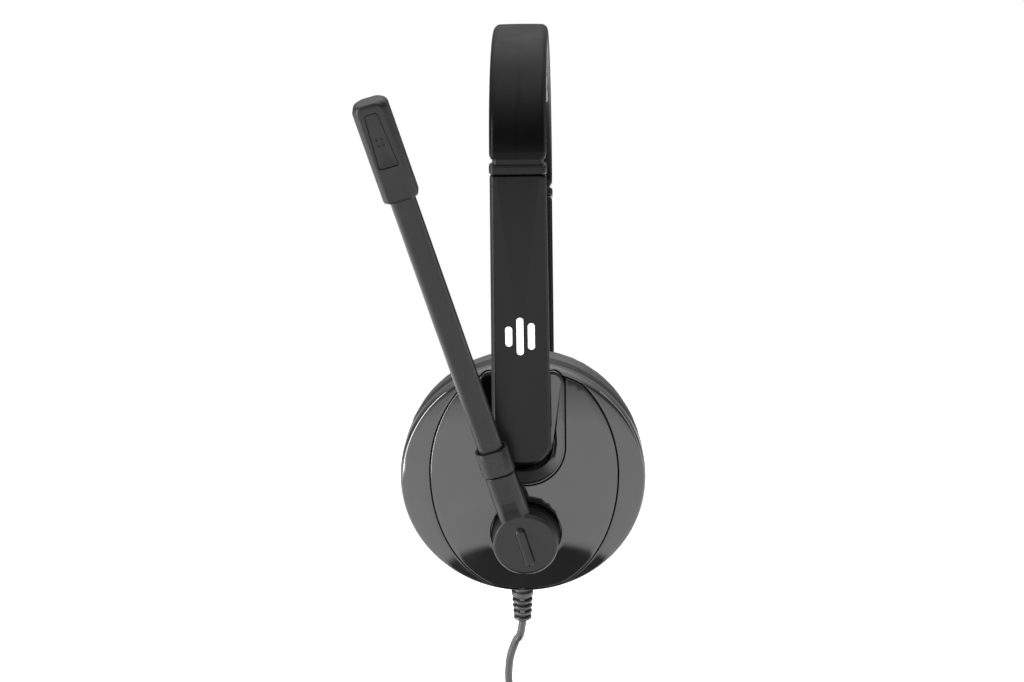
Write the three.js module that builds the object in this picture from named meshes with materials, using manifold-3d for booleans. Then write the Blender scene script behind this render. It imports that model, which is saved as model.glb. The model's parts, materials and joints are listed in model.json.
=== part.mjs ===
// Office headset: a sprung headband in a soft sleeve, two arms that slide on the spring, two ear cups
// on ball joints, and a microphone boom that swings on a hub at the bottom of the left cup.
// Millimetres, +Z up, ears along X, the wearer faces -Y and the boom is on the wearer's left (+X).
// The origin is the middle of the headband's underside, where it rests on the crown of the head.
import * as THREE from "three";
import { mergeVertices } from "three/addons/utils/BufferGeometryUtils.js";
import Module from "manifold-3d";

const wasm = await Module();
wasm.setup();
const DEG = Math.PI / 180;

// Driving dimensions
const GAP = 0.3; // clearance between fitted pieces
const CUP_SIDES = 28; // facets round the ear cup
const BAND_WIDTH = 17; // sleeve, across the head
const ARCH_HALF = 72; // half the arch's width, at the spring
const ARCH_RISE = 40.3; // height of the half ellipse that the spring follows
const SLEEVE_T = 6.4; // sleeve thickness
const PAD_T = 3.6; // crown pad thickness
const SPRING_WIDTH = 12;
const SPRING_T = 0.8;
const SPRING_IN_ARM = 40; // spring length inside a closed arm
const ARM_LEAN = 14.5; // degrees: the arms close in towards the jaw
const ARM_HALF_TOP = 8.45;
const ARM_HALF_END = 9;
const ARM_TOP = 78.9; // from the ball centre up to the arm's top edge
const ARM_END = -11; // from the ball centre down to the arm's rounded end
const ARM_INNER = 3.9; // from the ball centre out to the arm's inner face
const ARM_T = 4.4;
const BALL_R = 3;
const CUP_LEAN = 20.5; // degrees: the cup hangs with its lower edge turned in
const BALL_IN_CUP = { u: -3.6, w: 19 }; // ball centre from the middle of the cup's face
const CUP_R = 38;
const FACE_TOP = 4; // crown of the domed face
const FACE_RIM = -3; // where the dome meets the rounded rim
const FACE_R = 37; // radius at which the dome ends
const PANEL_T = 1.4; // gloss panel thickness
const HOUSING_BACK = -8.5; // where the front housing ends and the rear frame begins
const FRAME_BACK = -13.2; // back of the rear frame, where the cushion sits
const CUSHION_BACK = -25.3; // where the cushion meets the head
const HUB = { v: 0.85, w: -15.2 }; // boom axis on the cup's face
const HUB_R = 10.1;
const BOOM_ANGLE = 16.2; // degrees forward of the cup's own upright, parked
const BOOM_LEAN = 5.5; // degrees away from the face
const BOOM_U = 8.1; // height of the boom's centre line over the face, at the hub
const HOLDER_END = 25.2; // distances along the boom from the hub axis
const COLLAR_END = 33.9;
const HEAD_START = 120;
const HEAD_END = 151;
const BOOM_OFFSET = -0.6; // sideways, from the hub axis to the boom's centre line
const TUBE = { thick: 3, wide: 3.85 };
const CORD_R = 1.3;
const COIL_MID_R = 15.6; // radius of the stored coil at the middle of its turns
const COIL_SECTION = { radial: 5.4, across: 6.7 }; // half sizes of the bundle of turns
const COIL = { x: 1, y: -5.4, z: -231 }; // middle of the stored coil, whose axis runs along X
const LEAD_COLUMN = 5.2; // across the coil, from its middle to the turns that the lead joins
const LEAD_ROUTE = [[12.6, 2.2, 44.5], [10.6, 0.4, 39.5], [8, -0.3, 33.5], [6, -0.2, 28]]; // from the coil's middle

const black = (name, roughness) => ({ name, color: 0x17181a, roughness, metalness: 0 });
const FINISH = {
  gloss: black("gloss", 0.12),
  satin: black("satin", 0.45),
  rubber: black("rubber", 0.75),
  leather: black("leather", 0.6),
  cloth: { color: 0x202124, roughness: 0.95, metalness: 0 },
  steel: { color: 0xb5b8bc, roughness: 0.3, metalness: 1 },
  gold: { color: 0xd8b25c, roughness: 0.25, metalness: 1 },
  copper: { color: 0x9a6a3c, roughness: 0.5, metalness: 0.6 },
};

// ---------- solids ----------

/** A closed geometry as bare triangles that face outwards. */
function facingOut(geometry) {
  const flat = geometry.index ? geometry.toNonIndexed() : geometry;
  const position = flat.getAttribute("position");
  const corner = [new THREE.Vector3(), new THREE.Vector3(), new THREE.Vector3()];
  let volume = 0;
  for (let i = 0; i < position.count; i += 3) {
    corner.forEach((c, k) => c.fromBufferAttribute(position, i + k));
    volume += corner[0].dot(corner[1].cross(corner[2]));
  }
  if (volume < 0) {
    for (let i = 0; i < position.count; i += 3) {
      corner[1].fromBufferAttribute(position, i + 1);
      corner[2].fromBufferAttribute(position, i + 2);
      position.setXYZ(i + 1, corner[2].x, corner[2].y, corner[2].z);
      position.setXYZ(i + 2, corner[1].x, corner[1].y, corner[1].z);
    }
  }
  return new THREE.BufferGeometry().setAttribute("position", position);
}

/** A solid skinned over matching rings of points, with a flat cap fanned from the middle of each end. */
function skin(rings) {
  const count = rings[0].length;
  const points = rings.flat();
  const index = [];
  for (let i = 0; i + 1 < rings.length; i++) {
    for (let j = 0; j < count; j++) {
      const k = (j + 1) % count;
      const [a, b, c, d] = [i * count + j, i * count + k, (i + 1) * count + k, (i + 1) * count + j];
      index.push(a, b, c, a, c, d);
    }
  }
  const ends = [[0, true], [(rings.length - 1) * count, false]];
  for (const [start, backwards] of ends) {
    const middle = new THREE.Vector3();
    for (let j = 0; j < count; j++) middle.addScaledVector(points[start + j], 1 / count);
    const centre = points.push(middle) - 1;
    for (let j = 0; j < count; j++) {
      const k = (j + 1) % count;
      if (backwards) index.push(centre, start + k, start + j);
      else index.push(centre, start + j, start + k);
    }
  }
  return facingOut(new THREE.BufferGeometry().setFromPoints(points).setIndex(index));
}

/** A solid turned about the X axis from a profile of [radius, x] points, then moved to y, z. */
function turned(profile, segments = 20, y = 0, z = 0) {
  const closed = profile[0][0] > 0 ? [...profile, profile[0]] : profile;
  const points = closed.map(([r, x]) => new THREE.Vector2(r, x));
  const lathe = new THREE.LatheGeometry(points, segments);
  return facingOut(lathe.rotateZ(-90 * DEG).translate(0, y, z));
}

/** A box between two corners. */
function block([x0, y0, z0], [x1, y1, z1]) {
  const box = new THREE.BoxGeometry(x1 - x0, y1 - y0, z1 - z0);
  return facingOut(box.translate((x0 + x1) / 2, (y0 + y1) / 2, (z0 + z1) / 2));
}

/** An outline of [y, z] points as a ring at one x. */
function ringAt(x, outline) {
  return outline.map(([y, z]) => new THREE.Vector3(x, y, z));
}

/** A prism along X between two planes. */
function prism(x0, x1, outline) {
  return skin([ringAt(x0, outline), ringAt(x1, outline)]);
}

function solid(geometry) {
  const bare = geometry.clone();
  bare.deleteAttribute("normal");
  bare.deleteAttribute("uv");
  const merged = mergeVertices(bare, 1e-3);
  const mesh = new wasm.Mesh({
    numProp: 3,
    vertProperties: merged.attributes.position.array,
    triVerts: new Uint32Array(merged.index.array),
  });
  return new wasm.Manifold(mesh);
}

function geometryOf(manifold) {
  const mesh = manifold.getMesh();
  const geometry = new THREE.BufferGeometry();
  geometry.setAttribute("position", new THREE.BufferAttribute(mesh.vertProperties, 3));
  geometry.setIndex(new THREE.BufferAttribute(mesh.triVerts, 1));
  return geometry;
}

const cut = (base, ...tools) =>
  geometryOf(tools.reduce((left, tool) => left.subtract(solid(tool)), solid(base)));
const join = (base, ...more) =>
  geometryOf(more.reduce((sum, piece) => sum.add(solid(piece)), solid(base)));
const common = (a, b) => geometryOf(solid(a).intersect(solid(b)));

// ---------- outlines ----------

/** An arc of [y, z] points, degrees measured from +y towards +z. */
function arc(y, z, radius, from, to, steps) {
  const points = [];
  for (let i = 0; i <= steps; i++) {
    const angle = (from + ((to - from) * i) / steps) * DEG;
    points.push([y + radius * Math.cos(angle), z + radius * Math.sin(angle)]);
  }
  return points;
}

const rectangle = (half0, half1) => [[half0, -half1], [half0, half1], [-half0, half1], [-half0, -half1]];

/** A rounded rectangle about the origin, from its half sizes. */
function roundedRect(half0, half1, radius, steps = 3) {
  const [c0, c1] = [half0 - radius, half1 - radius];
  return [
    ...arc(c0, c1, radius, 0, 90, steps),
    ...arc(-c0, c1, radius, 90, 180, steps),
    ...arc(-c0, -c1, radius, 180, 270, steps),
    ...arc(c0, -c1, radius, 270, 360, steps),
  ];
}

/** A tongue, rounded at its lower end, whose half width runs from one value up to another. */
function tongue(bottom, top, halfBottom, halfTop, endRadius, topRadius) {
  const low = arc(halfBottom - endRadius, bottom + endRadius, endRadius, -90, 0, 5);
  const high = arc(halfTop - topRadius, top - topRadius, topRadius, 0, 90, 2);
  const right = [...low, ...high];
  const left = right.map(([y, z]) => [-y, z]).reverse();
  return [...right, ...left];
}

const armOutline = (inset) =>
  tongue(ARM_END + inset, ARM_TOP, ARM_HALF_END - inset, ARM_HALF_TOP - inset, 7 - inset, 0.8);

// ---------- headband ----------

const lean = ARM_LEAN * DEG;
const STRAIGHT = 81.5; // height over the ball centre at which the straight spring starts to bend
const SPRING_P = 6.1; // from the ball centre out to the middle of the spring
const crownZ = PAD_T + GAP + SLEEVE_T / 2;
const archEnd = Math.PI / 2 + Math.atan((ARCH_RISE / ARCH_HALF) * Math.tan(lean));
const endPoint = archPoint(archEnd);
const ARM_ORIGIN = new THREE.Vector3(
  endPoint.x - SPRING_P * Math.cos(lean) - STRAIGHT * Math.sin(lean),
  0,
  endPoint.z + SPRING_P * Math.sin(lean) - STRAIGHT * Math.cos(lean),
);

function archPoint(angle) {
  const z = crownZ - ARCH_RISE + ARCH_RISE * Math.cos(angle);
  return new THREE.Vector3(ARCH_HALF * Math.sin(angle), 0, z);
}

/** Where the spring runs: a station every few degrees of the arch, then straight down into the arms. */
function springStations(from, to, steps, straight = 0) {
  const stations = [];
  for (let i = 0; i <= steps; i++) {
    const angle = from + ((to - from) * i) / steps;
    const out = new THREE.Vector3(ARCH_RISE * Math.sin(angle), 0, ARCH_HALF * Math.cos(angle));
    stations.push({ at: archPoint(angle), out: out.normalize() });
  }
  if (straight > 0) {
    const down = new THREE.Vector3(-Math.sin(lean), 0, -Math.cos(lean)).multiplyScalar(straight);
    const last = stations.at(-1);
    stations.push({ at: last.at.clone().add(down), out: last.out });
    const first = stations[0];
    down.x = -down.x;
    stations.unshift({ at: first.at.clone().add(down), out: first.out });
  }
  return stations;
}

/** A bar with a section of [out, across] points along the spring. */
function alongBand(stations, sectionOf) {
  const rings = stations.map(({ at, out }, i) =>
    sectionOf(i / (stations.length - 1)).map(([o, y]) => at.clone().addScaledVector(out, o).setY(y)),
  );
  return skin(rings);
}

const object = new THREE.Group();

function add(group, name, geometry, finish) {
  const { color, roughness, metalness } = finish;
  const mesh = new THREE.Mesh(geometry, new THREE.MeshStandardMaterial({ color, roughness, metalness }));
  mesh.name = name;
  group.add(mesh);
}

function headband() {
  const ARCH_STEPS = 20;
  const springSection = () => rectangle(SPRING_T / 2, SPRING_WIDTH / 2);
  const below = STRAIGHT - (ARM_TOP - SPRING_IN_ARM);
  const whole = springStations(-archEnd, archEnd, ARCH_STEPS, below);
  add(object, "spring_band", alongBand(whole, springSection), FINISH.steel);

  const sleeveSection = () => roundedRect(SLEEVE_T / 2, BAND_WIDTH / 2, 2.2, 2);
  const channelSection = () => rectangle(SPRING_T / 2 + GAP, SPRING_WIDTH / 2 + GAP);
  const sleeve = alongBand(springStations(-archEnd, archEnd, ARCH_STEPS), sleeveSection);
  const channel = alongBand(springStations(-archEnd, archEnd, ARCH_STEPS, 2), channelSection);
  add(object, "band_sleeve", cut(sleeve, channel), FINISH.rubber);

  // The pad fades out towards its ends and sits just under the sleeve.
  const padSection = (share) => {
    const thick = PAD_T * (0.35 + 0.65 * Math.sin(Math.PI * share) ** 0.5);
    const top = -SLEEVE_T / 2 - GAP;
    return roundedRect(thick / 2, BAND_WIDTH / 2 - 0.8, Math.min(1.4, thick / 2 - 0.1), 2)
      .map(([o, y]) => [o + top - thick / 2, y]);
  };
  const padReach = 48 * DEG;
  add(object, "crown_pad", alongBand(springStations(-padReach, padReach, 12), padSection), FINISH.leather);
}

/** The collar that closes the sleeve's end over the arm: a narrow neck and a rounded lip. */
function sleeveCollar(arm, side) {
  const LIP_T = 1.8;
  const lipLow = ARM_TOP + GAP;
  const neckTop = STRAIGHT - GAP;
  const ringOf = (z, halfT, halfW, radius) =>
    roundedRect(halfT, halfW, radius).map(([o, y]) => new THREE.Vector3(SPRING_P + o, y, z));
  const body = skin([
    ringOf(lipLow, 3, BAND_WIDTH / 2 - 0.3, 2),
    ringOf(lipLow + 0.4, 3.3, BAND_WIDTH / 2 + 0.05, 2.2),
    ringOf(lipLow + LIP_T - 0.3, 3.3, BAND_WIDTH / 2 + 0.05, 2.2),
    ringOf(lipLow + LIP_T, 2.8, BAND_WIDTH / 2 - 0.5, 2),
    ringOf(neckTop, 2.8, BAND_WIDTH / 2 - 0.5, 2),
  ]);
  const slot = block(
    [SPRING_P - SPRING_T / 2 - GAP, -SPRING_WIDTH / 2 - GAP, ARM_TOP],
    [SPRING_P + SPRING_T / 2 + GAP, SPRING_WIDTH / 2 + GAP, STRAIGHT],
  );
  add(arm, "sleeve_collar_" + side, cut(body, slot), FINISH.satin);
}

// ---------- arm: x out from the ball centre, y across, z up along the arm ----------

function slidingArm(arm, side) {
  const SPLIT = ARM_INNER + 1; // between the back plate and the cover
  const OUTER = ARM_INNER + ARM_T;
  const ROOF = OUTER - 1.4; // inside of the cover
  const COVER = SPLIT + GAP;
  const SCREWS = [24, 33]; // heights of the two screws, below the spring's end
  const cover = skin([
    ringAt(COVER, armOutline(0)),
    ringAt(OUTER - 0.8, armOutline(0)),
    ringAt(OUTER - 0.2, armOutline(0.3)),
    ringAt(OUTER, armOutline(0.9)),
  ]);
  const hollow = block([COVER - 1, -SPRING_WIDTH / 2 - 0.7, -6], [ROOF, SPRING_WIDTH / 2 + 0.7, ARM_TOP + 1]);
  const bosses = SCREWS.map((z) => plugAt(2.4, 0, z, COVER, ROOF + 0.2, 8));
  const bores = SCREWS.map((z) => plugAt(1.2, 0, z, COVER - 1, ROOF, 8));
  add(arm, "arm_cover_" + side, cut(join(cut(cover, hollow), ...bosses), ...bores), FINISH.satin);

  const back = skin([
    ringAt(ARM_INNER, armOutline(1.1)),
    ringAt(ARM_INNER + 0.5, armOutline(0.4)),
    ringAt(SPLIT, armOutline(0.4)),
  ]);
  const studHole = turned([[0, 0], [2, 0], [2, SPLIT + 1], [0, SPLIT + 1]], 10);
  const screwHoles = SCREWS.map((z) =>
    turned(
      [[0, 0], [2.2, 0], [2.2, ARM_INNER + 0.7], [1.2, ARM_INNER + 0.7], [1.2, SPLIT + 1], [0, SPLIT + 1]],
      8, 0, z,
    ),
  );
  add(arm, "arm_back_" + side, cut(back, studHole, ...screwHoles), FINISH.satin);

  SCREWS.forEach((z, i) => {
    const head = ARM_INNER + 0.05;
    const profile = [
      [0, head], [1.9, head], [1.9, head + 0.35], [0.9, head + 0.4], [0.9, ROOF - 0.4], [0, ROOF - 0.4],
    ];
    add(arm, "arm_screw_" + (i + 1) + "_" + side, turned(profile, 8, 0, z), FINISH.steel);
  });

  // A leaf on the back plate that presses on the spring and holds the arm where it is slid to.
  const leafSide = [[52, 0.1], [56, 0.3], [60, 0.1]];
  const leaf = skin(
    leafSide.map(([z, lift]) =>
      roundedRect(0.1, 3, 0.05, 1).map(([o, y]) => new THREE.Vector3(COVER - 0.15 + lift + o, y, z)),
    ),
  );
  add(arm, "detent_leaf_" + side, leaf, FINISH.steel);

  const ballArc = arc(0, 0, BALL_R, 180, 32, 6).map(([x, r]) => [Math.abs(r) < 1e-9 ? 0 : r, x]);
  const stud = [...ballArc, [1.6, SPLIT + GAP], [3.6, SPLIT + GAP], [3.6, SPLIT + 1.2], [0, SPLIT + 1.2]];
  add(arm, "ball_stud_" + side, turned(stud, 12), FINISH.steel);
}

// ---------- ear cup: x out through the face, y across, z up in the cup's own plane ----------

const DOME_R = (FACE_R ** 2 + (FACE_TOP - FACE_RIM) ** 2) / (2 * (FACE_TOP - FACE_RIM));
/** Height of the domed face at a distance from its middle, on a surface set back by some depth. */
const domeAt = (r, depth = 0) => FACE_TOP - DOME_R + Math.sqrt((DOME_R - depth) ** 2 - r ** 2);
const domePoints = (radii, depth = 0) => radii.map((r) => [r, domeAt(r, depth)]);
const DOME_RADII = [0, 12, 22, 31];

/** Everything over the dome, set back by some depth, up to a height clear of the face. */
function overDome(depth, reach) {
  const CLEAR = 12;
  return turned([...domePoints([...DOME_RADII, reach], depth), [reach, CLEAR], [0, CLEAR]], CUP_SIDES);
}

/** Everything under that surface. */
function underDome(depth, reach) {
  const DEEP = -12;
  return turned([...domePoints([...DOME_RADII, reach], depth), [reach, DEEP], [0, DEEP]], CUP_SIDES);
}

const POCKET = { bottom: 1.5, top: 36.4, half: 13.3, endRadius: 12, topRadius: 4 };
/** The pocket's outline, grown by some margin. */
const pocketOutline = (grow, top = POCKET.top) =>
  tongue(
    POCKET.bottom - grow, top + grow, POCKET.half + grow, POCKET.half + grow,
    POCKET.endRadius + grow, POCKET.topRadius,
  );

const PANEL = { v: 0.5, w: 3.5, halfV: 28.8, above: 36.2, below: 41.5, reach: 36.7 };
/** The panel's egg-shaped outline, longer below its widest line than above it. */
function panelOutline(grow) {
  const unit = arc(0, 0, 1, 0, 360 - 360 / CUP_SIDES, CUP_SIDES - 1);
  return unit.map(([a, b]) => [
    PANEL.v + a * (PANEL.halfV + grow),
    PANEL.w + b * ((b > 0 ? PANEL.above : PANEL.below) + grow),
  ]);
}

/** A plug of some radius through the cup at the ball joint or the hub. */
const plugAt = (radius, v, w, from = -14, to = 12, segments = 16) =>
  turned([[0, from], [radius, from], [radius, to], [0, to]], segments, v, w);

const CASE_SCREWS = [-26.5, 26.5]; // across the cup, level with its middle
const PANEL_BED = PANEL_T + GAP; // depth of the recess under the gloss panel

function cupHousing(cup, side, boomSide) {
  const INSIDE = 3.4; // depth of the housing's inner face under the dome
  const shell = turned(
    [
      ...domePoints([...DOME_RADII, FACE_R]),
      [37.7, -3.75],
      [CUP_R, -4.9],
      [CUP_R, HOUSING_BACK],
      [CUP_R - 2, HOUSING_BACK],
      [CUP_R - 2, -6.6],
      ...domePoints([...DOME_RADII, 34].reverse(), INSIDE),
    ],
    CUP_SIDES,
  );
  const bosses = CASE_SCREWS.map((v) =>
    turned([[0, domeAt(27, 2.6)], [2.6, domeAt(27, 2.6)], [2.6, -11], [0, -11]], 8, v, -6),
  );
  const bores = CASE_SCREWS.map((v) => plugAt(1.2, v, -6, -12, -5, 8));
  const recess = common(
    common(overDome(PANEL_BED, 38), prism(-12, 14, panelOutline(0.35))),
    plugAt(PANEL.reach + 0.35, 0, 0, -12, 14, CUP_SIDES),
  );
  const tools = [recess, prism(-14, 14, pocketOutline(GAP / 2)), ...bores];
  if (boomSide) tools.push(plugAt(4.5, HUB.v, HUB.w), glandHole());
  add(cup, "cup_housing_" + side, cut(join(shell, ...bosses), ...tools), FINISH.gloss);

  const panelBody = common(
    common(overDome(PANEL_T, 38), underDome(0, 38)),
    common(prism(-11, 11, panelOutline(0)), plugAt(PANEL.reach, 0, 0, -11, 11, CUP_SIDES)),
  );
  const openings = [prism(-14, 14, pocketOutline(GAP / 2, CUP_R + 6))];
  if (boomSide) openings.push(plugAt(HUB_R + 0.8, HUB.v, HUB.w, -14, 14, 20), glandHole());
  add(cup, "gloss_panel_" + side, cut(panelBody, ...openings), FINISH.gloss);
}

/** The round way through the bottom of the cup for the cord's strain relief. */
const GLAND = { u: -6.2, v: -0.8, r: 3 };
function glandHole() {
  const bore = new THREE.CylinderGeometry(GLAND.r, GLAND.r, 12, 12).rotateX(90 * DEG);
  return facingOut(bore.translate(GLAND.u, GLAND.v, -36));
}

/** The tub that the arm's end sits in, with its bevelled wall and the seat of the ball joint. */
function armPocket(cup, side) {
  const FLOOR = -4.4;
  const FLOOR_T = 1.4;
  const BEVEL_TOP = 3;
  const BEVEL_FOOT = 1.6;
  const wideAt = (bottomInset, halfLow, halfHigh, radius) =>
    tongue(POCKET.bottom + bottomInset, POCKET.top - 1.2, halfLow, halfHigh, radius, 3);
  const outer = common(prism(FLOOR - FLOOR_T, 8, pocketOutline(-GAP / 2)), underDome(0, 38));
  const opening = skin([
    ringAt(FLOOR, wideAt(3.5, 9.9, 12.2, 8.6)),
    ringAt(BEVEL_FOOT, wideAt(3.5, 9.9, 12.2, 8.6)),
    ringAt(BEVEL_TOP, wideAt(0.6, 12.6, 12.6, 11.4)),
    ringAt(9, wideAt(0.6, 12.6, 12.6, 11.4)),
  ]);
  const seat = plugAt(5.5, 0, BALL_IN_CUP.w, -9, 0);
  const seatWall = plugAt(6.9, 0, BALL_IN_CUP.w, FLOOR - FLOOR_T, -2.9);
  const tub = cut(join(cut(outer, opening), seatWall), seat);
  add(cup, "arm_pocket_" + side, tub, FINISH.gloss);

  const ring = [[3.6, -8.2], [6.5, -8.2], [6.5, -6.1], [5.9, -6.1], [3.6, -6.6]];
  add(cup, "socket_cap_" + side, turned(ring, 12, 0, BALL_IN_CUP.w), FINISH.satin);
}

/** The liner that hugs the ball. It tilts on the ball and the cup swivels about it. */
function ballSocket(cup, side) {
  const inner = arc(0, 0, BALL_R + 0.25, 130, 62, 4).map(([x, r]) => [r, x + BALL_IN_CUP.u]);
  const [low, high] = [inner[0], inner.at(-1)];
  const profile = [...inner, [4.9, high[1]], [4.9, low[1]]];
  add(cup, "ball_socket_" + side, turned(profile, 12, 0, BALL_IN_CUP.w), FINISH.satin);
}

function cupInside(cup, side, boomSide) {
  const WALL_R = 37.8;
  const PLATE = FRAME_BACK + 1.7;
  const SOUND_R = 16.5;
  const frame = turned(
    [
      [SOUND_R, FRAME_BACK],
      [WALL_R - 0.4, FRAME_BACK],
      [WALL_R, FRAME_BACK + 0.4],
      [WALL_R, HOUSING_BACK - GAP],
      [WALL_R - 1.8, HOUSING_BACK - GAP],
      [WALL_R - 1.8, PLATE],
      [SOUND_R, PLATE],
    ],
    CUP_SIDES,
  );
  const holes = CASE_SCREWS.flatMap((v) => [
    plugAt(1.3, v, -6, -14, -5, 8),
    plugAt(2.5, v, -6, -14, FRAME_BACK + 0.9, 8),
  ]);
  add(cup, "rear_frame_" + side, cut(frame, ...holes), FINISH.satin);
  CASE_SCREWS.forEach((v, i) => {
    const profile = [
      [0, FRAME_BACK + 0.1], [2.1, FRAME_BACK + 0.1], [2.1, FRAME_BACK + 0.6], [0.9, FRAME_BACK + 0.7],
      [0.9, -6], [0, -6],
    ];
    add(cup, "case_screw_" + (i + 1) + "_" + side, turned(profile, 8, v, -6), FINISH.steel);
  });

  const basket = [
    [16.9, -11.2], [19.5, -11.2], [19.5, -10.4], [17.6, -10.2], [15.5, -9.2], [8.4, -9.2],
    [8.4, -9.9], [15, -9.9], [16.9, -10.8],
  ];
  add(cup, "driver_basket_" + side, turned(basket, 16), FINISH.satin);
  add(cup, "driver_magnet_" + side, turned([[0, -8.9], [7.6, -8.9], [7.6, -6.9], [0, -6.9]], 14), FINISH.steel);
  const diaphragm = [
    [0, -11.1], [8, -11.3], [16.2, -11.5], [16.2, -11.2], [15, -11.1], [8, -10.9], [0, -10.7],
  ];
  add(cup, "driver_diaphragm_" + side, turned(diaphragm, 16), FINISH.copper);
  const cloth = plugAt(16.1, 0, 0, FRAME_BACK + 0.2, FRAME_BACK + 0.6);
  add(cup, "speaker_cloth_" + side, cloth, FINISH.cloth);
}

function earCushion(cup, side) {
  const front = FRAME_BACK - GAP;
  const HOLE_R = 17.2;
  const profile = [
    [HOLE_R, front], [36.4, front], [38, -15.4], [38.4, -17.6], [37.8, -20.6], [36, -23.2],
    [32.4, -24.9], [28, CUSHION_BACK], [24, CUSHION_BACK], [20.6, -24.6], [18.2, -22.6], [HOLE_R, -19.8],
  ];
  add(cup, "ear_cushion_" + side, turned(profile, CUP_SIDES), FINISH.leather);
}

// ---------- microphone boom: x out from the face, z along the boom from the hub axis ----------

const boomLean = BOOM_LEAN * DEG;

/** A ring across the boom: a section of [thick, wide] points at a distance from the hub. */
function boomRing(s, section) {
  const [sin, cos] = [Math.sin(boomLean), Math.cos(boomLean)];
  return section.map(([o, y]) => new THREE.Vector3(BOOM_U + s * sin + o * cos, y + BOOM_OFFSET, s * cos - o * sin));
}

const boomBar = (stations) => skin(stations.map(([s, section]) => boomRing(s, section)));

function microphoneBoom(boom) {
  const HOLDER = [3.5, 4.85, 2.9];
  const DISC_LOW = 6.1;
  const DISC_TOP = 11.6;
  const disc = turned([
    [0, DISC_LOW], [HUB_R - 0.3, DISC_LOW], [HUB_R, DISC_LOW + 0.4], [HUB_R, DISC_TOP - 1.3],
    [HUB_R - 0.5, DISC_TOP - 0.4], [HUB_R - 1.6, DISC_TOP], [0, DISC_TOP],
  ], 24);
  const holder = boomBar([[3, roundedRect(...HOLDER)], [HOLDER_END, roundedRect(...HOLDER)]]);
  const rib = skin([
    ringAt(DISC_TOP - 0.5, roundedRect(1.6, 6.5, 1.55)),
    ringAt(DISC_TOP + 0.9, roundedRect(1.5, 6.4, 1.45)),
    ringAt(DISC_TOP + 1.5, roundedRect(0.8, 5.8, 0.75)),
  ]).translate(0, -0.3, -0.4);
  const pin = turned([
    [0, DISC_LOW + 1], [3.9, DISC_LOW + 1], [3.9, -3.6], [2.9, -3.6], [2.9, -4.9], [3.6, -4.9],
    [3.6, -5.6], [0, -5.6],
  ], 12);
  const upper = cut(join(disc, holder, rib), plugAt(HUB_R + 1.2, 0, 0, -2, DISC_LOW, 24));
  add(boom, "boom_hub", join(upper, pin), FINISH.satin);

  const clip = turned([[3.2, -4.6], [6.2, -4.6], [6.2, -3.9], [3.2, -3.9]], 16);
  add(boom, "hub_clip", cut(clip, block([-6, -1.6, -8], [-2, 1.6, 0])), FINISH.steel);

  const collar = boomBar([
    [HOLDER_END + GAP, roundedRect(3.5, 4.7, 2.9)],
    [HOLDER_END + 0.8, roundedRect(3.8, 5, 3.1)],
    [COLLAR_END, roundedRect(3.8, 4.95, 3.1)],
  ]);
  const mouth = boomBar([
    [COLLAR_END - 2, roundedRect(TUBE.thick + GAP, TUBE.wide + GAP, 2.3)],
    [COLLAR_END + 1, roundedRect(TUBE.thick + GAP, TUBE.wide + GAP, 2.3)],
  ]);
  add(boom, "boom_collar", cut(collar, mouth), FINISH.satin);

  const tubeSection = roundedRect(TUBE.thick, TUBE.wide, 2.5);
  const tube = boomBar([[COLLAR_END - 2 + GAP, tubeSection], [HEAD_START + 3.7, tubeSection]]);
  add(boom, "boom_tube", tube, FINISH.satin);

  const headSection = (shrink) => roundedRect(3.9 - shrink * 0.5, 5.3 - shrink, 1.9, 2);
  const head = boomBar([
    [HEAD_START, headSection(0.5)],
    [HEAD_START + 0.6, headSection(0)],
    [HEAD_END - 2.2, headSection(0)],
    [HEAD_END - 0.8, headSection(0.7)],
    [HEAD_END, headSection(2)],
  ]);
  const socket = boomBar([
    [HEAD_START - 1, roundedRect(TUBE.thick + GAP, TUBE.wide + GAP, 2.2)],
    [HEAD_START + 4, roundedRect(TUBE.thick + GAP, TUBE.wide + GAP, 2.2)],
  ]);
  const PORT = { from: HEAD_START + 11, to: HEAD_END - 3.6, half: 2.2 };
  // A well behind the port panel, open towards the front, that holds the capsule and its foam.
  const well = boomBox(PORT.from, PORT.to, -2.4, 6, PORT.half);
  add(boom, "mic_head", cut(head, socket, well), FINISH.satin);
  add(boom, "port_panel", boomBox(PORT.from + GAP, PORT.to - GAP, 2.9, 3.7, PORT.half - GAP), FINISH.satin);
  add(boom, "mic_foam", boomBox(PORT.from + 4, PORT.to - 3, 1.7, 2.6, PORT.half - 0.4), FINISH.cloth);
  add(boom, "mic_capsule", boomBox(PORT.from + 5, PORT.to - 6, -2, 1.4, PORT.half - GAP), FINISH.steel);
}

/** A block in the boom's own slant: a length of boom, a range of thickness and a half width. */
function boomBox(from, to, low, high, half) {
  const section = rectangle((high - low) / 2, half).map(([o, y]) => [o + (high + low) / 2, y]);
  return boomBar([[from, section], [to, section]]);
}

/** The raised ring on the face that the boom's hub turns on. */
function hubBearing(cup) {
  const BASE_R = HUB_R + 0.5;
  const body = turned(
    [[4.4, -6], [BASE_R, -6], [BASE_R, 2.6], [BASE_R - 0.4, 4], [BASE_R - 0.7, 5.8], [4.4, 5.8]],
    20, HUB.v, HUB.w,
  );
  add(cup, "hub_bearing", common(body, overDome(PANEL_BED - GAP, 38)), FINISH.satin);
}

// ---------- cord ----------

const RELIEF_LOW = -48.9; // lower end of the relief, down from the middle of the cup
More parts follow.
